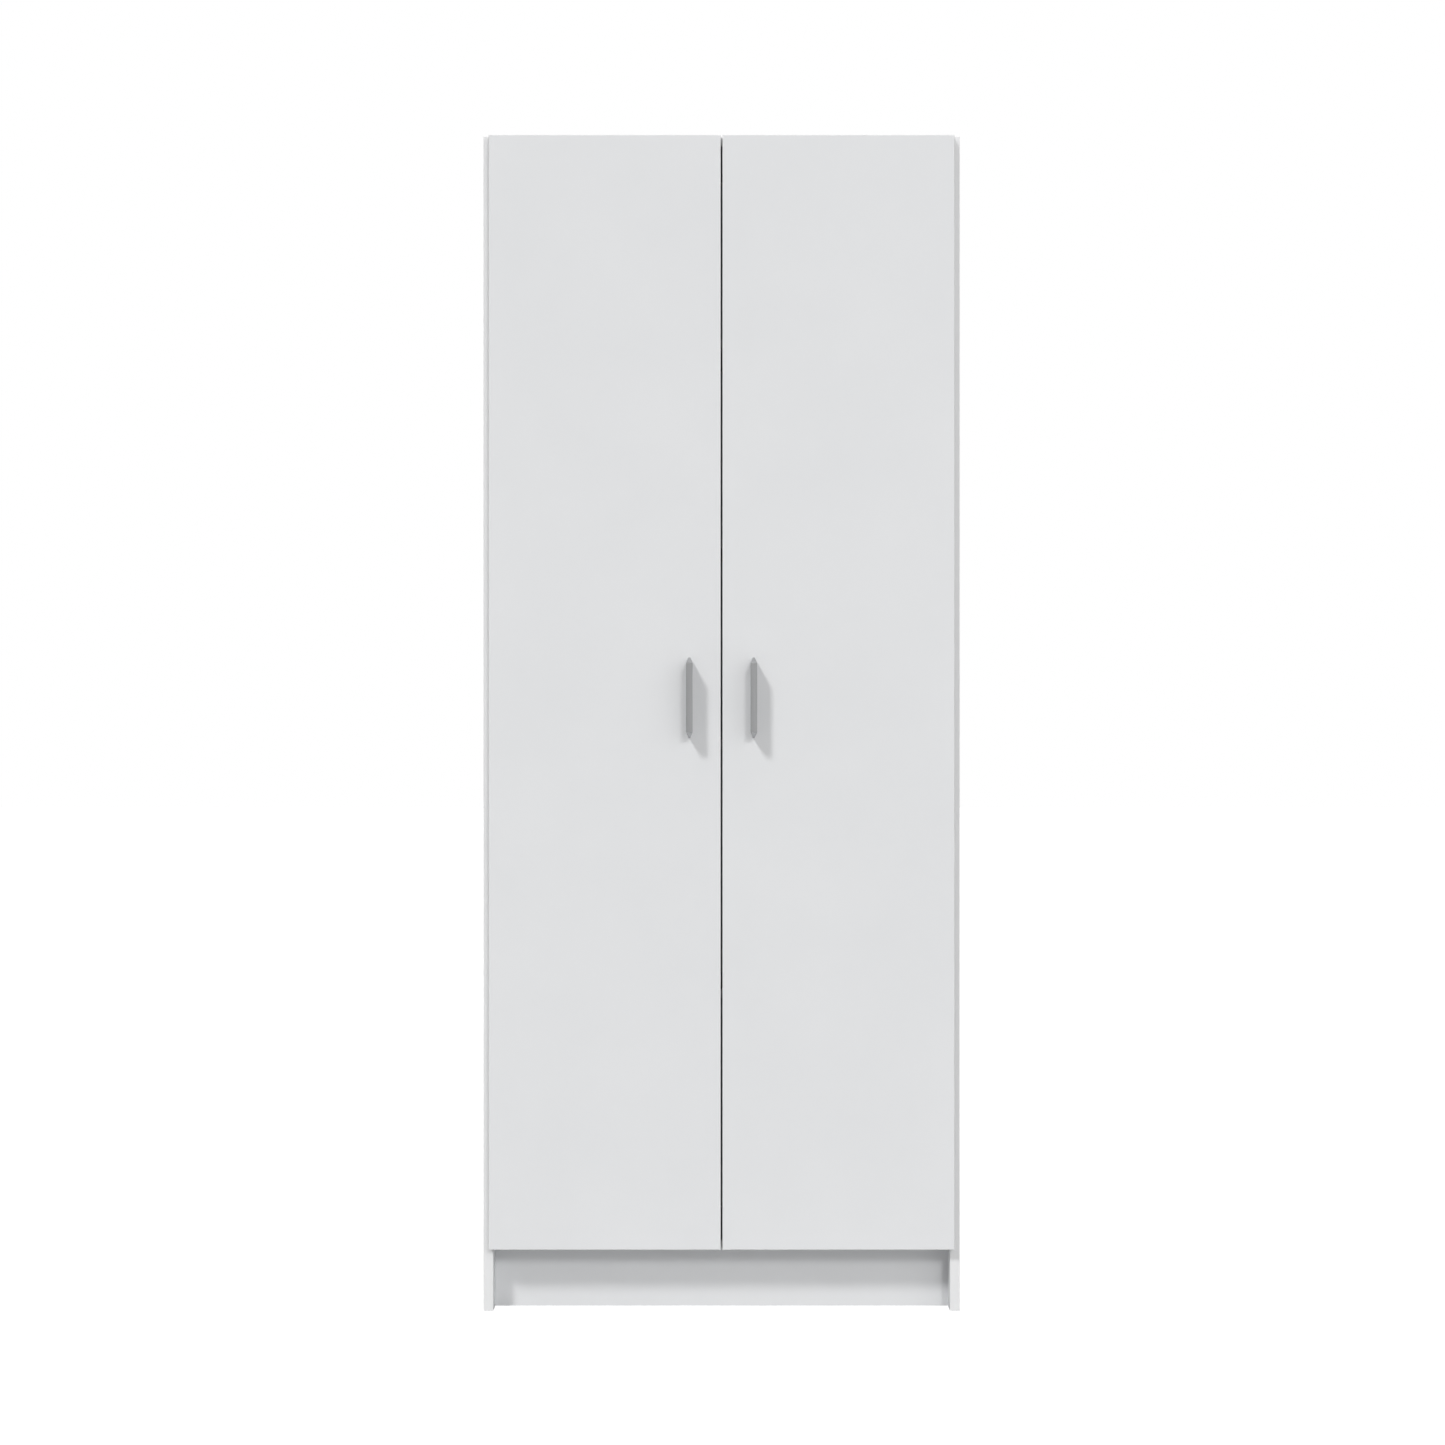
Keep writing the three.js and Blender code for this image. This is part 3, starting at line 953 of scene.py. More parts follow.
def show(name: str, shape: Shape, home: Home, *finishes: Finish) -> bpy.types.Object:
    """Makes a shape a piece of the cabinet and reports it.

    Args:
        name: the piece's name.
        shape: its shape, which is used up.
        home: where it belongs.
        finishes: its finishes, in the order that its faces number them.

    Returns:
        The piece.
    """
    mesh = shape.mesh(name)
    mesh.set_sharp_from_angle(angle=SHARP)
    for finish in finishes:
        mesh.materials.append(finish.material())
    piece = bpy.data.objects.new(name, mesh)
    bpy.context.scene.collection.objects.link(piece)
    level = piece.modifiers.new("flat faces stay flat", "WEIGHTED_NORMAL")
    level.mode = "FACE_AREA"
    level.weight = 100
    level.keep_sharp = True
    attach(piece, home.body)
    if home.stands_for:
        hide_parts(*home.stands_for)
    LOG.info("%s: %d faces, rides on %s", name, len(mesh.polygons), home.body)
    return piece


@dataclass(frozen=True)
class Hole:
    """A round hole, by its middle."""

    centre: Vector
    axis: Axis
    radius: float
    length: float
    sides: int = 32

    def tool(self) -> Shape:
        """Returns the rod that cuts the hole."""
        return Shape.rod(self.centre, self.axis, self.radius, self.length, self.sides)


@dataclass
class Board:
    """A laminated board with glued edge tape, standing for one CAD node."""

    node: str
    body: str
    across: Axis  # the axis of its thickness
    taped: tuple[Edge, ...] = ()
    holes: list[Hole] = field(default_factory=list)
    tape: float = 1.0 * MM
    tape_radius: float = 0.75 * MM
    seam: float = 0.12 * MM

    def build(self) -> None:
        """Builds the core and its tapes."""
        low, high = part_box(self.node)
        faces = (low[self.across.value], high[self.across.value])
        for edge in self.taped:
            axis, sign = edge.value
            tape_low, tape_high = low.copy(), high.copy()
            if sign > 0:
                tape_low[axis.value] = high[axis.value] - self.tape
                high[axis.value] = tape_low[axis.value]
            else:
                tape_high[axis.value] = low[axis.value] + self.tape
                low[axis.value] = tape_high[axis.value]
            self._tape(edge, tape_low, tape_high)
        core = Shape.block(low, high).rounded(self.seam, 1)
        if self.holes:
            core.cut(Shape.gathered(hole.tool() for hole in self.holes))
        self._mark_faces(core, faces)
        home = Home(self.body, Slot.LAMINATE, (self.node,))
        show(f"{self.node}_panel", core, home, LAMINATE, RAW_CHIPBOARD)

    def _tape(self, edge: Edge, low: Vector, high: Vector) -> None:
        """Builds one edge tape.

        Args:
            edge: the edge that it covers.
            low: its lowest corner.
            high: its highest corner.
        """
        axis, sign = edge.value
        outer = (high if sign > 0 else low)[axis.value]
        strip = Shape.block(low, high).rounded(self.tape_radius, 4, on_plane(axis, outer))
        name = f"{self.node}_{edge.name.lower()}_tape"
        show(name, strip, Home(self.body, Slot.LAMINATE), EDGE_TAPE)

    def _mark_faces(self, core: Shape, levels: tuple[float, float]) -> None:
        """Gives the raw faces of the core the second finish.

        Args:
            core: the core.
            levels: where the two laminated faces lie.
        """
        index = self.across.value
        core.bm.normal_update()
        for face in core.bm.faces:
            flat = abs(face.normal[index]) > 0.6
            near = min(abs(face.calc_center_median()[index] - level) for level in levels)
            face.material_index = 0 if flat and near < 2 * self.seam else 1


def cut_cross(body: Shape, reach: float, half: float, floor: float, top: float) -> Shape:
    """Cuts a cross recess down into a turned piece.

    Args:
        body: the piece, along Z.
        reach: how far each arm of the cross reaches from the middle.
        half: half the width of an arm.
        floor: the bottom of the recess.
        top: a level above the piece.

    Returns:
        The same piece.
    """
    for span_x, span_y in ((reach, half), (half, reach)):
        body.cut(Shape.block(Vector((-span_x, -span_y, floor)), Vector((span_x, span_y, top))))
    return body


@dataclass(frozen=True)
class Screw:
    """A screw with a crowned head and a cross recess, along its local Z with its head up."""

    head_radius: float
    head_height: float
    shank_radius: float
    length: float
    recess_radius: float = 2.1 * MM
    recess_width: float = 0.85 * MM
    recess_depth: float = 1.3 * MM
    sides: int = 28

    def shape(self) -> Shape:
        """Returns the screw, its head's underside at Z = 0."""
        head, top, shank = self.head_radius, self.head_height, self.shank_radius
        point = 1.5 * MM
        rim = 0.35 * top
        soft = 0.1 * MM
        profile = [
            (0.0, -self.length), (0.35 * shank, -self.length), (shank, point - self.length),
            (shank, 0.0), (head - soft, 0.0), (head, soft), (head, rim), (0.93 * head, 0.66 * top),
            (0.72 * head, 0.88 * top), (0.4 * head, 0.98 * top), (0.0, top),
        ]
        body = Shape.turned(profile, Matrix.Identity(4), self.sides)
        return cut_cross(body, self.recess_radius, self.recess_width / 2, top - self.recess_depth, 2 * top)


# ---- carcass ------------------------------------------------------------------------------------
@dataclass
class CamLocks:
    """The round cam locks that pull two boards together, seen as discs flush with a board."""

    radius: float = 7.4 * MM
    hole_radius: float = 7.7 * MM
    depth: float = 3.0 * MM
    lip: float = 0.3 * MM
    from_joint: float = 34.0 * MM
    from_edge: float = 50.0 * MM
    edge: float = 0.5 * MM
    cross: Point2 = (3.6 * MM, 0.7 * MM)  # an arm's reach and half its width
    cross_depth: float = 2.0 * MM
    sides: int = 36
    _template: Shape | None = None

    def template(self) -> Shape:
        """Returns one lock along Z, its shown face up at Z = 0."""
        if self._template is None:
            radius, edge = self.radius, self.edge
            profile = [
                (0.0, -self.depth), (radius, -self.depth), (radius, -edge), (radius - edge, 0.0),
                (radius - 2 * edge, 0.0), (radius - 3 * edge, -edge), (0.0, -edge),
            ]
            disc = Shape.turned(profile, Matrix.Identity(4), self.sides)
            reach, half = self.cross
            self._template = cut_cross(disc, reach, half, -self.cross_depth, edge)
        return self._template

    def places(self, node: str, level_axis: Axis) -> list[Vector]:
        """Returns where the locks of one board lie, on its middle plane.

        Args:
            node: the board's node.
            level_axis: the axis across the board.

        Returns:
            The places of its locks.
        """
        low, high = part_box(node)
        middle = (low + high) / 2
        spans = [low.x + self.from_joint, high.x - self.from_joint]
        if level_axis is Axis.Y:
            return [Vector((x, middle.y, middle.z)) for x in spans]
        depths = [low.y + self.from_edge, high.y - self.from_edge]
        return [Vector((x, y, middle.z)) for x in spans for y in depths]

    def holes(self, places: Iterable[Vector], facing: Edge, node: str) -> list[Hole]:
        """Returns the holes for locks in one face of a board.

        Args:
            places: the locks' places.
            facing: the face that they show in.
            node: the board's node.

        Returns:
            The holes.
        """
        axis, _ = facing.value
        found = []
        for place in places:
            centre = place.copy()
            centre[axis.value] = self._level(facing, node)
            length = 2 * self.depth + 2 * self.lip
            found.append(Hole(centre, axis, self.hole_radius, length, self.sides))
        return found

    def show(self, places: Iterable[Vector], facing: Edge, node: str) -> None:
        """Shows the locks of one board as one piece.

        Args:
            places: the locks' places.
            facing: the face that they show in.
            node: the board's node.
        """
        axis, sign = facing.value
        discs = []
        for place in places:
            centre = place.copy()
            centre[axis.value] = self._level(facing, node)
            discs.append(self.template().copy(turn_z_to(sign * axis.vector, centre)))
        show(f"{node}_cam_locks", Shape.gathered(discs), Home(CARCASS, Slot.SCREW), ZINC)

    def _level(self, facing: Edge, node: str) -> float:
        """Returns where the face lies.

        Args:
            facing: the face.
            node: the board's node.

        Returns:
            Its place along its own axis.
        """
        axis, sign = facing.value
        low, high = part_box(node)
        return (high if sign > 0 else low)[axis.value]


@dataclass
class Carcass:
    """The fixed boards: two sides, top, bottom, middle shelf and plinth, with their cam locks."""

    pin_hole_radius: float = 2.75 * MM
    pin_hole_depth: float = 8.7 * MM
    pin_hole_pitch: float = 32.0 * MM
    small_sides: int = 24
    bracket_bore: float = 2.3 * MM
    locks: CamLocks = field(default_factory=CamLocks)

    def build(self) -> None:
        """Builds every fixed board."""
        for side in Side:
            node = f"{side.word}_side"
            tapes = (Edge.FRONT, Edge.TOP)
            Board(node, CARCASS, Axis.X, tapes, self._pin_holes(side)).build()
        for node in ("top_panel", "middle_shelf", "bottom_panel"):
            self._locked_board(node, Axis.Z, Edge.BOTTOM, (Edge.FRONT,))
        self._locked_board("plinth", Axis.Y, Edge.REAR, ())

    def _pin_holes(self, side: Side) -> list[Hole]:
        """Returns a side's shelf pin holes: each pin's own, and a spare above and below it.

        Args:
            side: the side panel.

        Returns:
            The holes.
        """
        low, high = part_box(f"{side.word}_side")
        inner = low.x if side is Side.RIGHT else high.x
        found = []
        for node in frame["nodes"]:
            if "_pin_" in node and node.endswith(side.word):
                middle = middle_of(node)
                for step in (-1, 0, 1):
                    centre = Vector((inner, middle.y, middle.z + step * self.pin_hole_pitch))
                    depth = 2 * self.pin_hole_depth
                    found.append(Hole(centre, Axis.X, self.pin_hole_radius, depth, self.small_sides))
        return found

    def _locked_board(self, node: str, across: Axis, facing: Edge, taped: tuple[Edge, ...]) -> None:
        """Builds a board with its cam locks.

        Args:
            node: the board's node.
            across: the axis across the board.
            facing: the face that the locks show in.
            taped: its taped edges.
        """
        places = self.locks.places(node, across)
        holes = self.locks.holes(places, facing, node)
        if node == "top_panel":
            holes.append(self._bracket_bore())
        Board(node, CARCASS, across, taped, holes).build()
        self.locks.show(places, facing, node)

    def _bracket_bore(self) -> Hole:
        """Returns the hole in the top board for the wall bracket's screw."""
        low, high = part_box("wall_bracket_screw")
        middle = (low + high) / 2
        centre = Vector((middle.x, middle.y, high.z))
        return Hole(centre, Axis.Z, self.bracket_bore, 2 * (high.z - low.z), self.small_sides)


@dataclass
class ShelfSet:
    """The adjustable shelves, each lying loose on four pins."""

    count: int = 3
    pin_sides: int = 24
    pin_radius: float = 2.4 * MM
    pin_in_hole: float = 8.0 * MM
    pin_reach: float = 9.0 * MM
    pin_flange: float = 0.8 * MM
    pin_soft: float = 0.25 * MM
    groove: float = 0.2 * MM
    groove_levels: tuple[float, float, float] = (-6.2 * MM, -4.4 * MM, -2.6 * MM)

    def build(self) -> None:
        """Builds every shelf and its pins."""
        for number in range(1, self.count + 1):
            node = f"shelf_{number}"
            Board(node, CARCASS, Axis.Z, (Edge.FRONT,)).build()
            for side in Side:
                for row in ("front", "rear"):
                    self._pin(f"{node}_pin_{row}_{side.word}", side)

    def _pin(self, node: str, side: Side) -> None:
        """Builds one shelf pin: a grooved plug, a collar and a rounded tip.

        Args:
            node: the pin's node.
            side: the side panel that it plugs into.
        """
        low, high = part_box(node)
        middle = (low + high) / 2
        collar = (high.z - low.z) / 2
        radius, in_hole, reach = self.pin_radius, self.pin_in_hole, self.pin_reach
        flange, soft, groove = self.pin_flange, self.pin_soft, self.groove
        inner = high.x - in_hole if side is Side.RIGHT else low.x + in_hole
        grooves = [
            point
            for level in self.groove_levels
            for point in ((radius, level), (radius - groove, level + groove),
                          (radius - groove, level + 3 * groove), (radius, level + 4 * groove))
        ]
        profile = [
            (0.0, -in_hole), (radius - 3 * soft, -in_hole), (radius, 3 * soft - in_hole), *grooves,
            (radius, 0.0), (collar - soft, 0.0), (collar, soft), (collar, flange - soft),
            (collar - soft, flange), (radius, flange), (radius, reach - 4 * soft),
            (radius - soft, reach - 2 * soft), (radius - 4 * soft, reach), (0.0, reach),
        ]
        place = turn_z_to(-side.value * Axis.X.vector, Vector((inner, middle.y, middle.z)))
        pin = Shape.turned(profile, place, self.pin_sides)
        show(f"{node}_turned", pin, Home(CARCASS, Slot.HINGE, (node,)), NICKEL_STEEL)


@dataclass
class Back:
    """The nailed hardboard back, its joining strip and the wall bracket."""

    nail_radius: float = 1.7 * MM
    nail_crown: float = 0.35 * MM
    nail_pitch: float = 140.0 * MM
    nail_from_edge: float = 5.5 * MM
    nail_from_end: float = 30.0 * MM
    nail_sides: int = 10
    edge: float = 0.25 * MM

    def build(self) -> None:
        """Builds the back."""
        for side in Side:
            self._half(side)
        self._strip()
        WallBracket().build()

    def _half(self, side: Side) -> None:
        """Builds one half of the back and its nails.

        Args:
            side: which half.
        """
        node = f"back_{side.word}"
        low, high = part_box(node)
        sheet = Shape.block(low, high).rounded(self.edge, 1)
        sheet.bm.normal_update()
        for face in sheet.bm.faces:
            face.material_index = 0 if face.normal.y < -0.5 else 1
        home = Home(CARCASS, Slot.HARDBOARD, (node,))
        show(f"{node}_sheet", sheet, home, LACQUERED_BOARD, RAW_HARDBOARD)
        nails = Shape.gathered(self._nail(x, high.y, z) for x, z in self._nail_places(side, low, high))
        show(f"{node}_nails", nails, Home(CARCASS, Slot.SCREW), ZINC)

    def _nail_places(self, side: Side, low: Vector, high: Vector) -> list[Point2]:
        """Returns where one half's nails go.

        Args:
            side: which half.
            low: the sheet's lowest corner.
            high: its highest corner.

        Returns:
            Places of (x, z).
        """
        margin = self.nail_from_edge
        outer = high.x - margin if side is Side.RIGHT else low.x + margin
        inner = low.x if side is Side.RIGHT else high.x
        heights = spread(low.z + 4 * margin, high.z - 4 * margin, self.nail_pitch)
        places = [(outer, z) for z in heights]
        reach = side.value * self.nail_from_end
        for node in ("bottom_panel", "middle_shelf", "top_panel"):
            level = middle_of(node).z
            places += [(x, level) for x in spread(inner + reach, outer - reach, self.nail_pitch)]
        return places

    def _nail(self, x: float, y: float, z: float) -> Shape:
        """Returns one nail's head on the sheet.

        Args:
            x: its place along X.
            y: the sheet's outer face.
            z: its place along Z.

        Returns:
            The head.
        """
        radius, crown = self.nail_radius, self.nail_crown
        profile = [
            (0.0, -crown), (radius, -crown), (radius, 0.15 * crown), (0.6 * radius, 0.8 * crown),
            (0.0, crown),
        ]
        place = turn_z_to(Axis.Y.vector, Vector((x, y, z)))
        return Shape.turned(profile, place, self.nail_sides)

    def _strip(self) -> None:
        """Dresses the CAD strip and softens its edges."""
        strip = frame["nodes"]["back_joining_strip"]
        weld = strip.modifiers.new("weld", "WELD")
        weld.merge_threshold = TOUCH / 4
        bevel = strip.modifiers.new("soft edges", "BEVEL")
        bevel.width = self.edge
        bevel.segments = 2
        bevel.limit_method = "ANGLE"
        strip.data.materials.clear()
        strip.data.materials.append(WHITE_PLASTIC.material())


@dataclass
class WallBracket:
    """The steel angle under the top board, and the screw that holds it."""

    sheet: float = 2.0 * MM
    bend: float = 2.4 * MM
    corner: float = 5.0 * MM
    hole: float = 2.6 * MM
    hole_sides: int = 24
    wall_hole_drop: float = 26.0 * MM
    screw_head: Point2 = (4.0 * MM, 2.4 * MM)  # radius and height
    screw_shank: float = 1.9 * MM

    def build(self) -> None:
        """Builds the angle and the screw."""
        low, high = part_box("wall_bracket")
        screw_low, screw_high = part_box("wall_bracket_screw")
        screw_at = (screw_low + screw_high) / 2
        flat = Shape.block(Vector((low.x, low.y, high.z - self.sheet)), high)
        upright = Shape.block(Vector((low.x, high.y - self.sheet, low.z)), high)
        ends = ((flat, Axis.Z, Axis.Y, low.y), (upright, Axis.Y, Axis.Z, low.z))
        for leaf, thickness, length, end in ends:
            leaf.rounded(self.corner, 5, both(along(thickness), on_plane(length, end)))
        angle = flat.joined(upright)
        heel = both(along(Axis.X), both(on_plane(Axis.Z, high.z), on_plane(Axis.Y, high.y)))
        angle.rounded(self.bend, 5, heel)
        bores = (
            (Vector((screw_at.x, screw_at.y, high.z)), Axis.Z),
            (Vector(((low.x + high.x) / 2, high.y, high.z - self.wall_hole_drop)), Axis.Y),
        )
        for centre, axis in bores:
            angle.cut(Shape.rod(centre, axis, self.hole, 4 * self.sheet, self.hole_sides))
        show("wall_bracket_angle", angle, Home(CARCASS, Slot.SCREW, ("wall_bracket",)), ZINC)
        radius, head = self.screw_head
        screw = Screw(radius, head, self.screw_shank, screw_high.z - screw_low.z - head).shape()
        place = turn_z_to(-Axis.Z.vector, Vector((screw_at.x, screw_at.y, screw_low.z + head)))
        home = Home(CARCASS, Slot.SCREW, ("wall_bracket_screw",))
        show("wall_bracket_fixing", screw.moved(place), home, ZINC)


# ---- doors --------------------------------------------------------------------------------------
@dataclass
class Handle:
    """A solid wedge: its front face is wide and short, its foot on the door narrow and long."""

    side: Side
    front: Point2 = (10.0 * MM, 106.0 * MM)
    foot: Point2 = (3.0 * MM, 123.0 * MM)
    edge: float = 0.45 * MM
    boss_radius: float = 4.2 * MM
    boss_length: float = 16.0 * MM
    boss_spacing: float = 96.0 * MM
    boss_sides: int = 28

    def build(self) -> None:
        """Builds the handle on its door."""
        node = f"{self.side.word}_handle"
        low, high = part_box(node)
        middle = (low + high) / 2
        wedge = Shape.block(Vector((-0.5, low.y, -0.5)), Vector((0.5, high.y, 0.5)))
        for vert in wedge.bm.verts:
            width, length = self.front if vert.co.y < middle.y else self.foot
            vert.co.x = middle.x + vert.co.x * width
            vert.co.z = middle.z + vert.co.z * length
        wedge.rounded(self.edge, 3)
        bosses = []
        for end in (-1, 1):
            level = middle.z + end * self.boss_spacing / 2
            centre = Vector((middle.x, high.y - self.boss_length / 2, level))
            boss = Shape.rod(centre, Axis.Y, self.boss_radius, self.boss_length, self.boss_sides)
            bosses.append(boss)
        wedge.joined(*bosses)
        show(f"{node}_wedge", wedge, Home(self.side.door_body, Slot.HANDLE, (node,)), SATIN_ALUMINIUM)


@dataclass
class Door:
    """One door: its board with the bores for its hinge cups, its handle, handle screws and bumper."""

    side: Side
    handle_screw_hole: float = 2.3 * MM
    handle_screw_sides: int = 20
    handle_screw_head: Point2 = (4.0 * MM, 2.4 * MM)  # radius and height
    handle_screw_shank: float = 1.9 * MM
    cup_bore: float = 17.5 * MM
    cup_bore_depth: float = 12.0 * MM
    cup_bore_sides: int = 64
    bumper_sides: int = 28

    def build(self) -> None:
        """Builds the door board, its handle and handle screws, and the bumper that it closes against."""
        node = f"{self.side.word}_door"
        outer, inner = self.side.outer_edge, self.side.inner_edge
        tapes = (outer, inner, Edge.TOP, Edge.BOTTOM)
        Board(node, self.side.door_body, Axis.Y, tapes, self._holes(node)).build()
        Handle(self.side).build()
        for end in ("lower", "upper"):
            self._handle_screw(f"{self.side.word}_handle_screw_{end}")
        self._bumper()

    def _holes(self, node: str) -> list[Hole]:
        """Returns the door's hinge bores and handle screw holes.

        Args:
            node: the door's node.

        Returns:
            The holes.
        """
        low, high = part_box(node)
        found = []
        for place in HingeSet.places:
            cup = HingeSet.cup_centre(self.side, place)
            centre = Vector((cup.x, high.y, cup.z))
            length = 2 * self.cup_bore_depth
            found.append(Hole(centre, Axis.Y, self.cup_bore, length, self.cup_bore_sides))
        for end in ("lower", "upper"):
            screw = middle_of(f"{self.side.word}_handle_screw_{end}")
            centre = Vector((screw.x, high.y, screw.z))
            length = 4 * (high.y - low.y)
            found.append(Hole(centre, Axis.Y, self.handle_screw_hole, length, self.handle_screw_sides))
        return found

    def _handle_screw(self, node: str) -> None:
        """Builds one handle screw, its head on the back of the door.

        Args:
            node: the screw's node.
        """
        low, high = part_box(node)
        middle = (low + high) / 2
        radius, head = self.handle_screw_head
        screw = Screw(radius, head, self.handle_screw_shank, high.y - low.y - head).shape()
        place = turn_z_to(Axis.Y.vector, Vector((middle.x, high.y - head, middle.z)))
        home = Home(self.side.door_body, Slot.SCREW, (node,))
        show(f"{node}_driven", screw.moved(place), home, ZINC)

    def _bumper(self) -> None:
        """Builds the soft pad that the door closes against, on the top board's edge."""
        node = f"{self.side.word}_door_bumper"
        low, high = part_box(node)
        middle = (low + high) / 2
        radius = (high.z - low.z) / 2
        height = high.y - low.y
        profile = [
            (0.0, 0.0), (radius, 0.0), (radius, 0.25 * height), (0.93 * radius, 0.55 * height),
            (0.75 * radius, 0.82 * height), (0.45 * radius, 0.96 * height), (0.0, height),
        ]
        place = turn_z_to(-Axis.Y.vector, Vector((middle.x, high.y, middle.z)))
        pad = Shape.turned(profile, place, self.bumper_sides)
        show(f"{node}_pad", pad, Home(CARCASS, Slot.PLASTIC, (node,)), CLEAR_GREY_RUBBER)


# ---- concealed hinges ---------------------------------------------------------------------------
@dataclass
class HingeSet:
    """The six concealed hinges. Templates are made once, about the pole that the door swings on.

    In a template +X points to the side panel, +Y into the cabinet and the origin is the pole.
    """

    places = ("bottom", "middle", "top")
    cup_x: float = -16.5 * MM
    cup_radius: float = 17.2 * MM
    cup_inner: float = 16.0 * MM
    cup_rim: float = 18.3 * MM
    cup_floor: float = -0.7 * MM
    cup_sheet: float = 1.2 * MM
    cup_press: float = 1.6 * MM  # the radius between the cup's wall and its floor
    cup_sides: int = 56
    fine_edge: float = 0.3 * MM
    door_back: float = 11.0 * MM
    flange: float = 1.0 * MM
    ear_x: float = -22.5 * MM
    ear_radius: float = 5.5 * MM
    ear_reach: float = 24.0 * MM
    arm_pin: Point2 = (-20.0 * MM, 14.5 * MM)
    arm_half: float = 6.5 * MM
    arm_sheet: float = 1.4 * MM
    arm_outline: tuple[Point2, ...] = (
        (-23.0, 14.5), (-16.6, 28.0), (-11.0, 34.0), (-11.0, 78.0), (-4.6, 78.0), (-4.6, 24.0),
        (-17.4, 12.4),
    )  # in millimetres
    arm_bend: float = 2.2 * MM
    arm_ear: float = 3.4 * MM
    arm_web_start: float = 21.0 * MM
    arm_end: float = 79.0 * MM
    arm_hole: float = 3.1 * MM
    arm_slot: float = 2.4 * MM
    web_x: float = -11.0 * MM
    link_half: float = 4.6 * MM
    link_sheet: float = 2.6 * MM
    link_bend: Point2 = (-12.5 * MM, 7.0 * MM)
    link_tip: Point2 = (-4.5 * MM, 5.5 * MM)
    link_eye: Point2 = (3.0 * MM, 2.0 * MM)  # outer radius and hole
    link_tip_radius: float = 1.7 * MM
    link_slot: Point2 = (3.2 * MM, 4.4 * MM)  # its reach to either side of the bend
    link_slot_half: float = 1.3 * MM
    rivet_shape: tuple[float, float, float] = (1.6 * MM, 2.5 * MM, 0.6 * MM)  # radius, head radius, crown
    plate_face: float = -1.0 * MM
    plate_sheet: float = 3.0 * MM
    plate_middle: float = 50.0 * MM
    plate_wing: Point2 = (12.0 * MM, 48.0 * MM)
    rail: Point2 = (48.0 * MM, 8.8 * MM)
    screw_spacing: float = 32.0 * MM
    adjuster_ys: Point2 = (43.0 * MM, 66.0 * MM)

    @staticmethod
    def pole(side: Side) -> Vector:
        """Returns the pole of one side's door, from its joint.

        Args:
            side: the door's side.

        Returns:
            Where the joint's axis stands, in the frame.
        """
        joint = next(item for item in frame["joints"] if item["child"] == side.door_body)
        return Vector(joint["pos_m"])

    @classmethod
    def cup_centre(cls, side: Side, place: str) -> Vector:
        """Returns the middle of one hinge's cup, in the frame.

        Args:
            side: the door's side.
            place: which of its hinges.

        Returns:
            The cup's centre.
        """
        low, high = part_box(f"{side.word}_{place}_hinge_cup")
        return Vector((cls.pole(side).x + side.value * cls.cup_x, high.y, (low.z + high.z) / 2))

    def build(self) -> None:
        """Makes the templates and places them at each hinge."""
        parts = [
            ("cup", "pressed", self._cup(), NICKEL_STEEL, Slot.HINGE),
            ("cup_screws", None, self._cup_screws(), ZINC, Slot.SCREW),
            ("link", "stamped", self._link(), NICKEL_STEEL, Slot.HINGE),
            ("arm", "channel", self._arm(), NICKEL_STEEL, Slot.HINGE),
            ("rivet", None, self._rivet(), ZINC, Slot.HINGE),
            ("adjusters", None, self._adjusters(), ZINC, Slot.SCREW),
            ("plate", "die_cast", self._plate(), NICKEL_STEEL, Slot.HINGE),
            ("plate_screws", None, self._plate_screws(), ZINC, Slot.SCREW),
        ]
        for side in Side:
            bodies = {"cup": side.door_body, "cup_screws": side.door_body, "link": side.links_body}
            pole = self.pole(side)
            for place in self.places:
                height = self.cup_centre(side, place).z
                where = Matrix.Translation((pole.x, pole.y, height))
                where = where @ Matrix.Diagonal((side.value, 1, 1, 1))
                for part, form, template, finish, slot in parts:
                    node = f"{side.word}_{place}_hinge_{part}"
                    stands_for = (node,) if form else ()
                    name = f"{node}_{form}" if form else node
                    home = Home(bodies.get(part, CARCASS), slot, stands_for)
                    show(name, template.copy(where), home, finish)

    def _cup(self) -> Shape:
        """Returns the pressed cup with its rim and two screw ears."""
        floor, back, rim = self.cup_floor, self.door_back, self.door_back + self.flange
        inside = floor + self.cup_sheet
        outer, inner, wide = self.cup_radius, self.cup_inner, self.cup_rim
        soft, press = self.fine_edge, self.cup_press
        profile = [
            (0.0, floor), (outer - press, floor), (outer - 0.3 * press, floor + 0.3 * press),
            (outer, floor + press), (outer, back), (wide - soft, back), (wide, back + soft),
            (wide, rim - soft), (wide - soft, rim), (inner + soft, rim), (inner, rim - soft),
            (inner, inside + press), (inner - 0.3 * press, inside + 0.3 * press), (inner - press, inside),
            (0.0, inside),
        ]
        axis = Vector((self.cup_x, 0.0, 0.0))
        shell = Shape.turned(profile, turn_z_to(Axis.Y.vector, axis), self.cup_sides)
        reach = self.ear_reach + self.ear_radius
        low = Vector((self.ear_x - self.ear_radius, back, -reach))
        high = Vector((self.ear_x + self.ear_radius, rim, reach))
        ears = Shape.block(low, high)
        ears.rounded(self.ear_radius * 0.96, 8, along(Axis.Y))
        ears.rounded(soft, 2, on_plane(Axis.Y, rim))
        centre = Vector((self.cup_x, back, 0.0))
        mouth = Shape.rod(centre, Axis.Y, inner + 2 * soft, 8 * self.flange, self.cup_sides)
        return shell.joined(ears.cut(mouth))

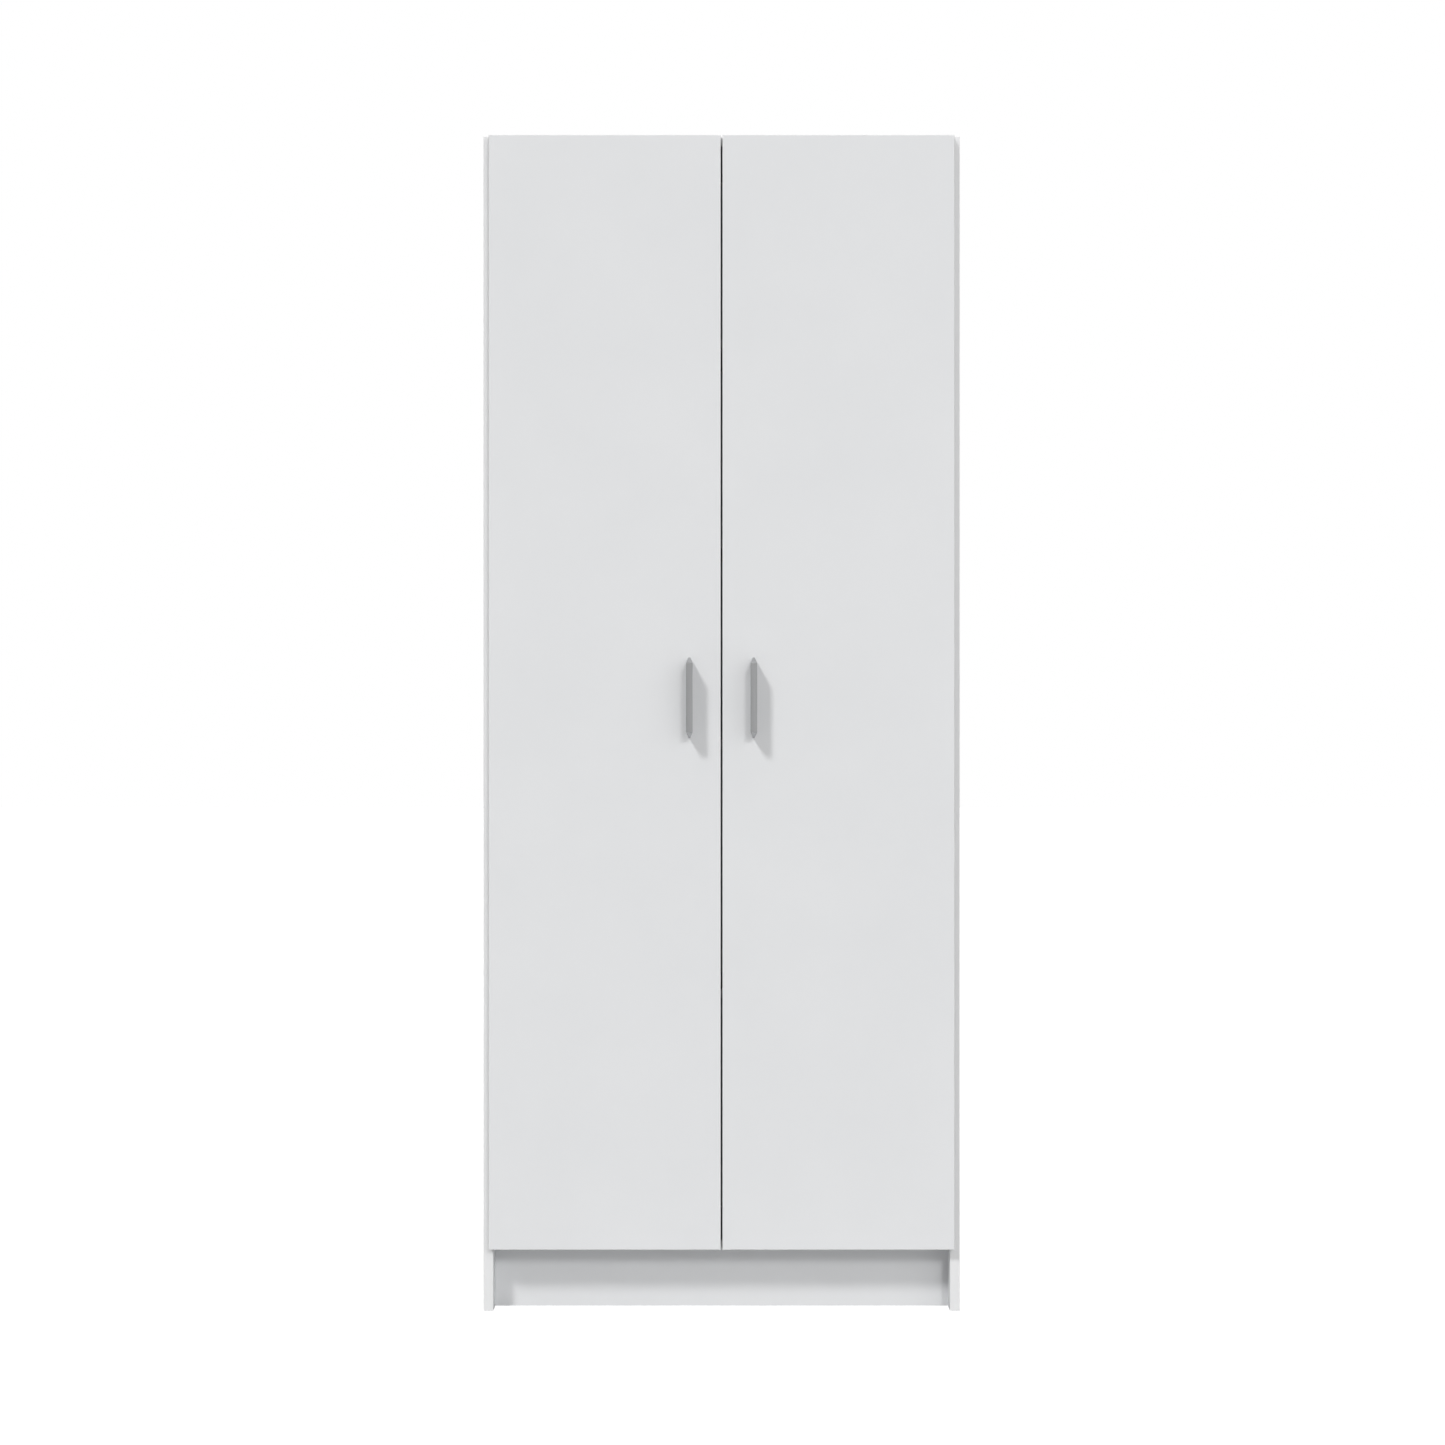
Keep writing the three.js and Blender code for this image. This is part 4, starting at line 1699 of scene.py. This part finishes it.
    def _cup_screws(self) -> Shape:
        """Returns the two screws in the cup's ears."""
        screw = Screw(3.6 * MM, 1.7 * MM, 1.7 * MM, 9.0 * MM, 1.7 * MM, 0.7 * MM, 1.0 * MM, 24).shape()
        level = self.door_back + self.flange
        ends = (-self.ear_reach, self.ear_reach)
        return Shape.gathered(
            screw.copy(turn_z_to(Axis.Y.vector, Vector((self.ear_x, level, end)))) for end in ends
        )

    def _link(self) -> Shape:
        """Returns the gooseneck link, from its eye on the arm's pin into the cup."""
        eye = Vector((*self.arm_pin, 0.0))
        bend = Vector((*self.link_bend, 0.0))
        tip = Vector((*self.link_tip, 0.0))
        half_sheet = self.link_sheet / 2
        eye_radius, hole_radius = self.link_eye
        width = 2 * self.link_half
        first = (bend - eye).normalized()
        second = (tip - bend).normalized()
        across_first = Vector((-first.y, first.x, 0.0)) * half_sheet
        across_second = Vector((-second.y, second.x, 0.0)) * half_sheet
        reach = half_sheet / math.cos(first.angle(second) / 2)
        mitre = (across_first + across_second).normalized() * reach
        corners = [eye + across_first, bend + mitre, tip + across_second,
                   tip - across_second, bend - mitre, eye - across_first]
        strap = Shape.prism([(point.x, point.y) for point in corners], self.link_half)
        strap.rounded(1.0 * MM, 3, along(Axis.Z))
        strap.joined(Shape.rod(eye, Axis.Z, eye_radius, width, 32))
        strap.joined(Shape.rod(tip, Axis.Z, self.link_tip_radius, width, 24))
        slot_half = self.link_slot_half
        slot_low = Vector((bend.x - self.link_slot[0], bend.y - 6 * MM, -slot_half))
        slot_high = Vector((bend.x + self.link_slot[1], bend.y + 8 * MM, slot_half))
        opening = Shape.block(slot_low, slot_high).rounded(0.8 * slot_half, 4, along(Axis.Y))
        return strap.cut(Shape.rod(eye, Axis.Z, hole_radius, 2 * width, 24), opening)

    def _arm(self) -> Shape:
        """Returns the cranked arm, a channel over the plate's rail with holes for its adjusters."""
        sheet, half = self.arm_sheet, self.arm_half
        outline = [(x * MM, y * MM) for x, y in self.arm_outline]
        (_, _), (knee_x, knee_y), (_, foot_y) = outline[:3]
        outer = Shape.prism(outline, half)
        outer.rounded(self.arm_bend, 4, along(Axis.Z))
        outer.joined(Shape.rod(Vector((*self.arm_pin, 0.0)), Axis.Z, self.arm_ear, 2 * half, 32))
        faces = (on_plane(Axis.Z, half), on_plane(Axis.Z, -half))
        outer.rounded(self.fine_edge, 2, lambda edge: any(lies(edge) for lies in faces))
        inner_x = self.web_x + sheet
        slope = (self.web_x - knee_x) / (foot_y - knee_y)
        start_x = knee_x + sheet - slope * (knee_y - self.arm_web_start) / 2
        clear = -40.0 * MM
        hollow = [
            (clear, 0.0), (clear, self.arm_web_start), (start_x, self.arm_web_start),
            (inner_x, foot_y - 1.0 * MM), (inner_x, self.arm_end), (0.0, self.arm_end), (0.0, 0.0),
        ]
        outer.cut(Shape.prism(hollow, half - sheet))
        for y in self.adjuster_ys:
            outer.cut(Shape.rod(Vector((self.web_x, y, 0.0)), Axis.X, self.arm_hole, 6 * sheet, 28))
        slot_low = Vector((self.web_x - sheet, self.adjuster_ys[1], -self.arm_slot))
        slot_high = Vector((self.web_x + 2 * sheet, self.arm_end, self.arm_slot))
        return outer.cut(Shape.block(slot_low, slot_high))

    def _rivet(self) -> Shape:
        """Returns the arm's pin, with a crowned head on each ear."""
        radius, head, crown = self.rivet_shape
        half = self.arm_half
        start, end = -half - crown, half + crown
        profile = [
            (0.0, start), (0.6 * head, start + 0.15 * crown), (0.95 * head, start + 0.6 * crown),
            (head, -half), (radius, -half), (radius, half), (head, half),
            (0.95 * head, end - 0.6 * crown), (0.6 * head, end - 0.15 * crown), (0.0, end),
        ]
        return Shape.turned(profile, Matrix.Translation((*self.arm_pin, 0.0)), 28)

    def _adjusters(self) -> Shape:
        """Returns the two adjusting screws in the arm's web."""
        screw = Screw(2.8 * MM, 1.5 * MM, 1.6 * MM, 4.0 * MM, 1.7 * MM, 0.7 * MM, 1.0 * MM, 24).shape()
        level = self.web_x + 0.8 * MM
        return Shape.gathered(
            screw.copy(turn_z_to(-Axis.X.vector, Vector((level, y, 0.0)))) for y in self.adjuster_ys
        )

    def _plate(self) -> Shape:
        """Returns the mounting plate: two screw wings and the rail that carries the arm."""
        wing_depth, wing_height = self.plate_wing
        rail_length, rail_height = self.rail
        face = self.plate_face
        wing = Shape.block(
            Vector((face - self.plate_sheet, self.plate_middle - wing_depth / 2, -wing_height / 2)),
            Vector((face, self.plate_middle + wing_depth / 2, wing_height / 2)),
        )
        wing.rounded(0.46 * wing_depth, 7, along(Axis.X))
        wing.rounded(0.7 * MM, 3, on_plane(Axis.X, face - self.plate_sheet))
        rail = Shape.block(
            Vector((self.web_x + self.arm_sheet, self.plate_middle - rail_length / 2, -rail_height / 2)),
            Vector((face, self.plate_middle + rail_length / 2, rail_height / 2)),
        )
        rail.rounded(0.8 * MM, 3, lambda edge: not on_plane(Axis.X, face)(edge))
        wing.joined(rail)
        for end in (-1, 1):
            at = Vector((face, self.plate_middle, end * self.screw_spacing / 2))
            wing.cut(Shape.rod(at, Axis.X, 2.3 * MM, 4 * self.plate_sheet, 24))
        return wing

    def _plate_screws(self) -> Shape:
        """Returns the two screws that hold the plate to the side panel."""
        screw = Screw(3.7 * MM, 1.9 * MM, 1.9 * MM, 12.0 * MM, 1.9 * MM, 0.8 * MM, 1.2 * MM, 24).shape()
        level = self.plate_face - self.plate_sheet
        ends = (-self.screw_spacing / 2, self.screw_spacing / 2)
        return Shape.gathered(
            screw.copy(turn_z_to(-Axis.X.vector, Vector((level, self.plate_middle, end)))) for end in ends
        )


# ---- studio -------------------------------------------------------------------------------------
@dataclass
class Studio:
    """The camera, the lights, the white surround and the pale floor."""

    camera_x: float = 1.4 * MM
    camera_height: float = 902.0 * MM
    camera_distance: float = 5.1
    lens: float = 83.14
    sensor: float = 36.0
    key_towards: Colour = (-0.65, -1.0, 1.1)
    key_strength: float = 1.28
    key_softness: float = math.radians(9)
    fill_towards: Colour = (0.228, -1.0, 0.44)
    fill_strength: float = 0.62
    fill_softness: float = math.radians(11)
    side_towards: Colour = (0.9, -1.0, 0.45)
    side_strength: float = 0.44
    side_softness: float = math.radians(45)
    surround: Point2 = (0.21, 0.62)  # from low down to overhead
    floor_size: float = 60.0
    floor_tone: float = 0.5  # how much of the light it throws back
    floor_glow: float = 0.93  # how bright it looks with no light on it
    floor_shade: float = 0.25  # how much the cabinet's shadow shows on it

    def build(self) -> None:
        """Builds the whole studio."""
        self._camera()
        self._sun("key", self.key_towards, self.key_strength, self.key_softness)
        self._sun("fill", self.fill_towards, self.fill_strength, self.fill_softness)
        self._sun("side", self.side_towards, self.side_strength, self.side_softness)
        self._surround()
        self._floor()
        view = bpy.context.scene.view_settings
        view.view_transform = "Standard"
        view.look = "None"

    def _camera(self) -> None:
        """Adds the camera, level with the middle of the doors and looking straight at them."""
        data = bpy.data.cameras.new("camera")
        data.lens = self.lens
        data.sensor_width = self.sensor
        data.clip_end = 100.0
        camera = bpy.data.objects.new("camera", data)
        low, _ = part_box("left_door")
        camera.location = (self.camera_x, low.y - self.camera_distance, self.camera_height)
        camera.rotation_euler = (math.radians(90), 0.0, 0.0)
        bpy.context.scene.collection.objects.link(camera)
        bpy.context.scene.camera = camera

    def _sun(self, name: str, towards: Colour, strength: float, softness: float) -> None:
        """Adds a soft parallel light.

        Args:
            name: its name.
            towards: the direction from the cabinet to the light.
            strength: its strength.
            softness: the angle that it fills.
        """
        data = bpy.data.lights.new(name, "SUN")
        data.energy = strength
        data.angle = softness
        light = bpy.data.objects.new(name, data)
        light.rotation_euler = Vector(towards).to_track_quat("Z", "Y").to_euler()
        light.location = Vector(towards) * 3.0
        bpy.context.scene.collection.objects.link(light)

    def _surround(self) -> None:
        """Sets a white backdrop, which lights the cabinet less than it shows, and most from above."""
        world = bpy.data.worlds.new("surround")
        world.use_nodes = True
        world.node_tree.nodes.clear()
        sheet = NodeSheet(world.node_tree)
        path = sheet.add("ShaderNodeLightPath")
        seen = sheet.add("ShaderNodeBackground", {"Color": (1, 1, 1, 1), "Strength": 1.0})
        towards = sheet.add("ShaderNodeTexCoord").outputs["Generated"]
        height = sheet.add("ShaderNodeSeparateXYZ", {"Vector": towards}).outputs["Z"]
        strength = sheet.ranged(height, (0.35, 1.0), self.surround)
        light = sheet.add("ShaderNodeBackground", {"Color": (1, 1, 1, 1), "Strength": strength})
        shares = {0: path.outputs["Is Camera Ray"], 1: light.outputs[0], 2: seen.outputs[0]}
        mix = sheet.add("ShaderNodeMixShader", shares)
        sheet.add("ShaderNodeOutputWorld", {"Surface": mix.outputs[0]})
        bpy.context.scene.world = world

    def _floor(self) -> None:
        """Adds the pale floor, which looks nearly white and throws light up to the plinth."""
        half = self.floor_size / 2
        plane = Shape()
        bmesh.ops.create_grid(plane.bm, x_segments=1, y_segments=1, size=half)
        mesh = plane.mesh("floor")
        material = bpy.data.materials.new("pale_floor")
        material.use_nodes = True
        material.node_tree.nodes.clear()
        sheet = NodeSheet(material.node_tree)
        path = sheet.add("ShaderNodeLightPath")
        tone = (self.floor_tone, self.floor_tone, self.floor_tone, 1.0)
        bounce = sheet.add("ShaderNodeBsdfDiffuse", {"Color": tone})
        glow = sheet.add("ShaderNodeEmission", {"Color": (1, 1, 1, 1), "Strength": self.floor_glow})
        shade = (self.floor_shade, self.floor_shade, self.floor_shade, 1.0)
        dim = sheet.add("ShaderNodeBsdfDiffuse", {"Color": shade})
        shown = sheet.add("ShaderNodeAddShader", {0: glow.outputs[0], 1: dim.outputs[0]})
        shares = {0: path.outputs["Is Camera Ray"], 1: bounce.outputs[0], 2: shown.outputs[0]}
        mix = sheet.add("ShaderNodeMixShader", shares)
        sheet.add("ShaderNodeOutputMaterial", {"Surface": mix.outputs[0]})
        mesh.materials.append(material)
        floor = bpy.data.objects.new("floor", mesh)
        bpy.context.scene.collection.objects.link(floor)


def main() -> None:
    """Builds the cabinet and its studio."""
    logging.basicConfig(level=logging.INFO, format="%(name)s %(message)s")
    Studio().build()
    for assembly in (Carcass(), ShelfSet(), Back(), Door(Side.LEFT), Door(Side.RIGHT), HingeSet()):
        LOG.info("building %s", type(assembly).__name__)
        assembly.build()


if __name__ == "__main__":
    main()
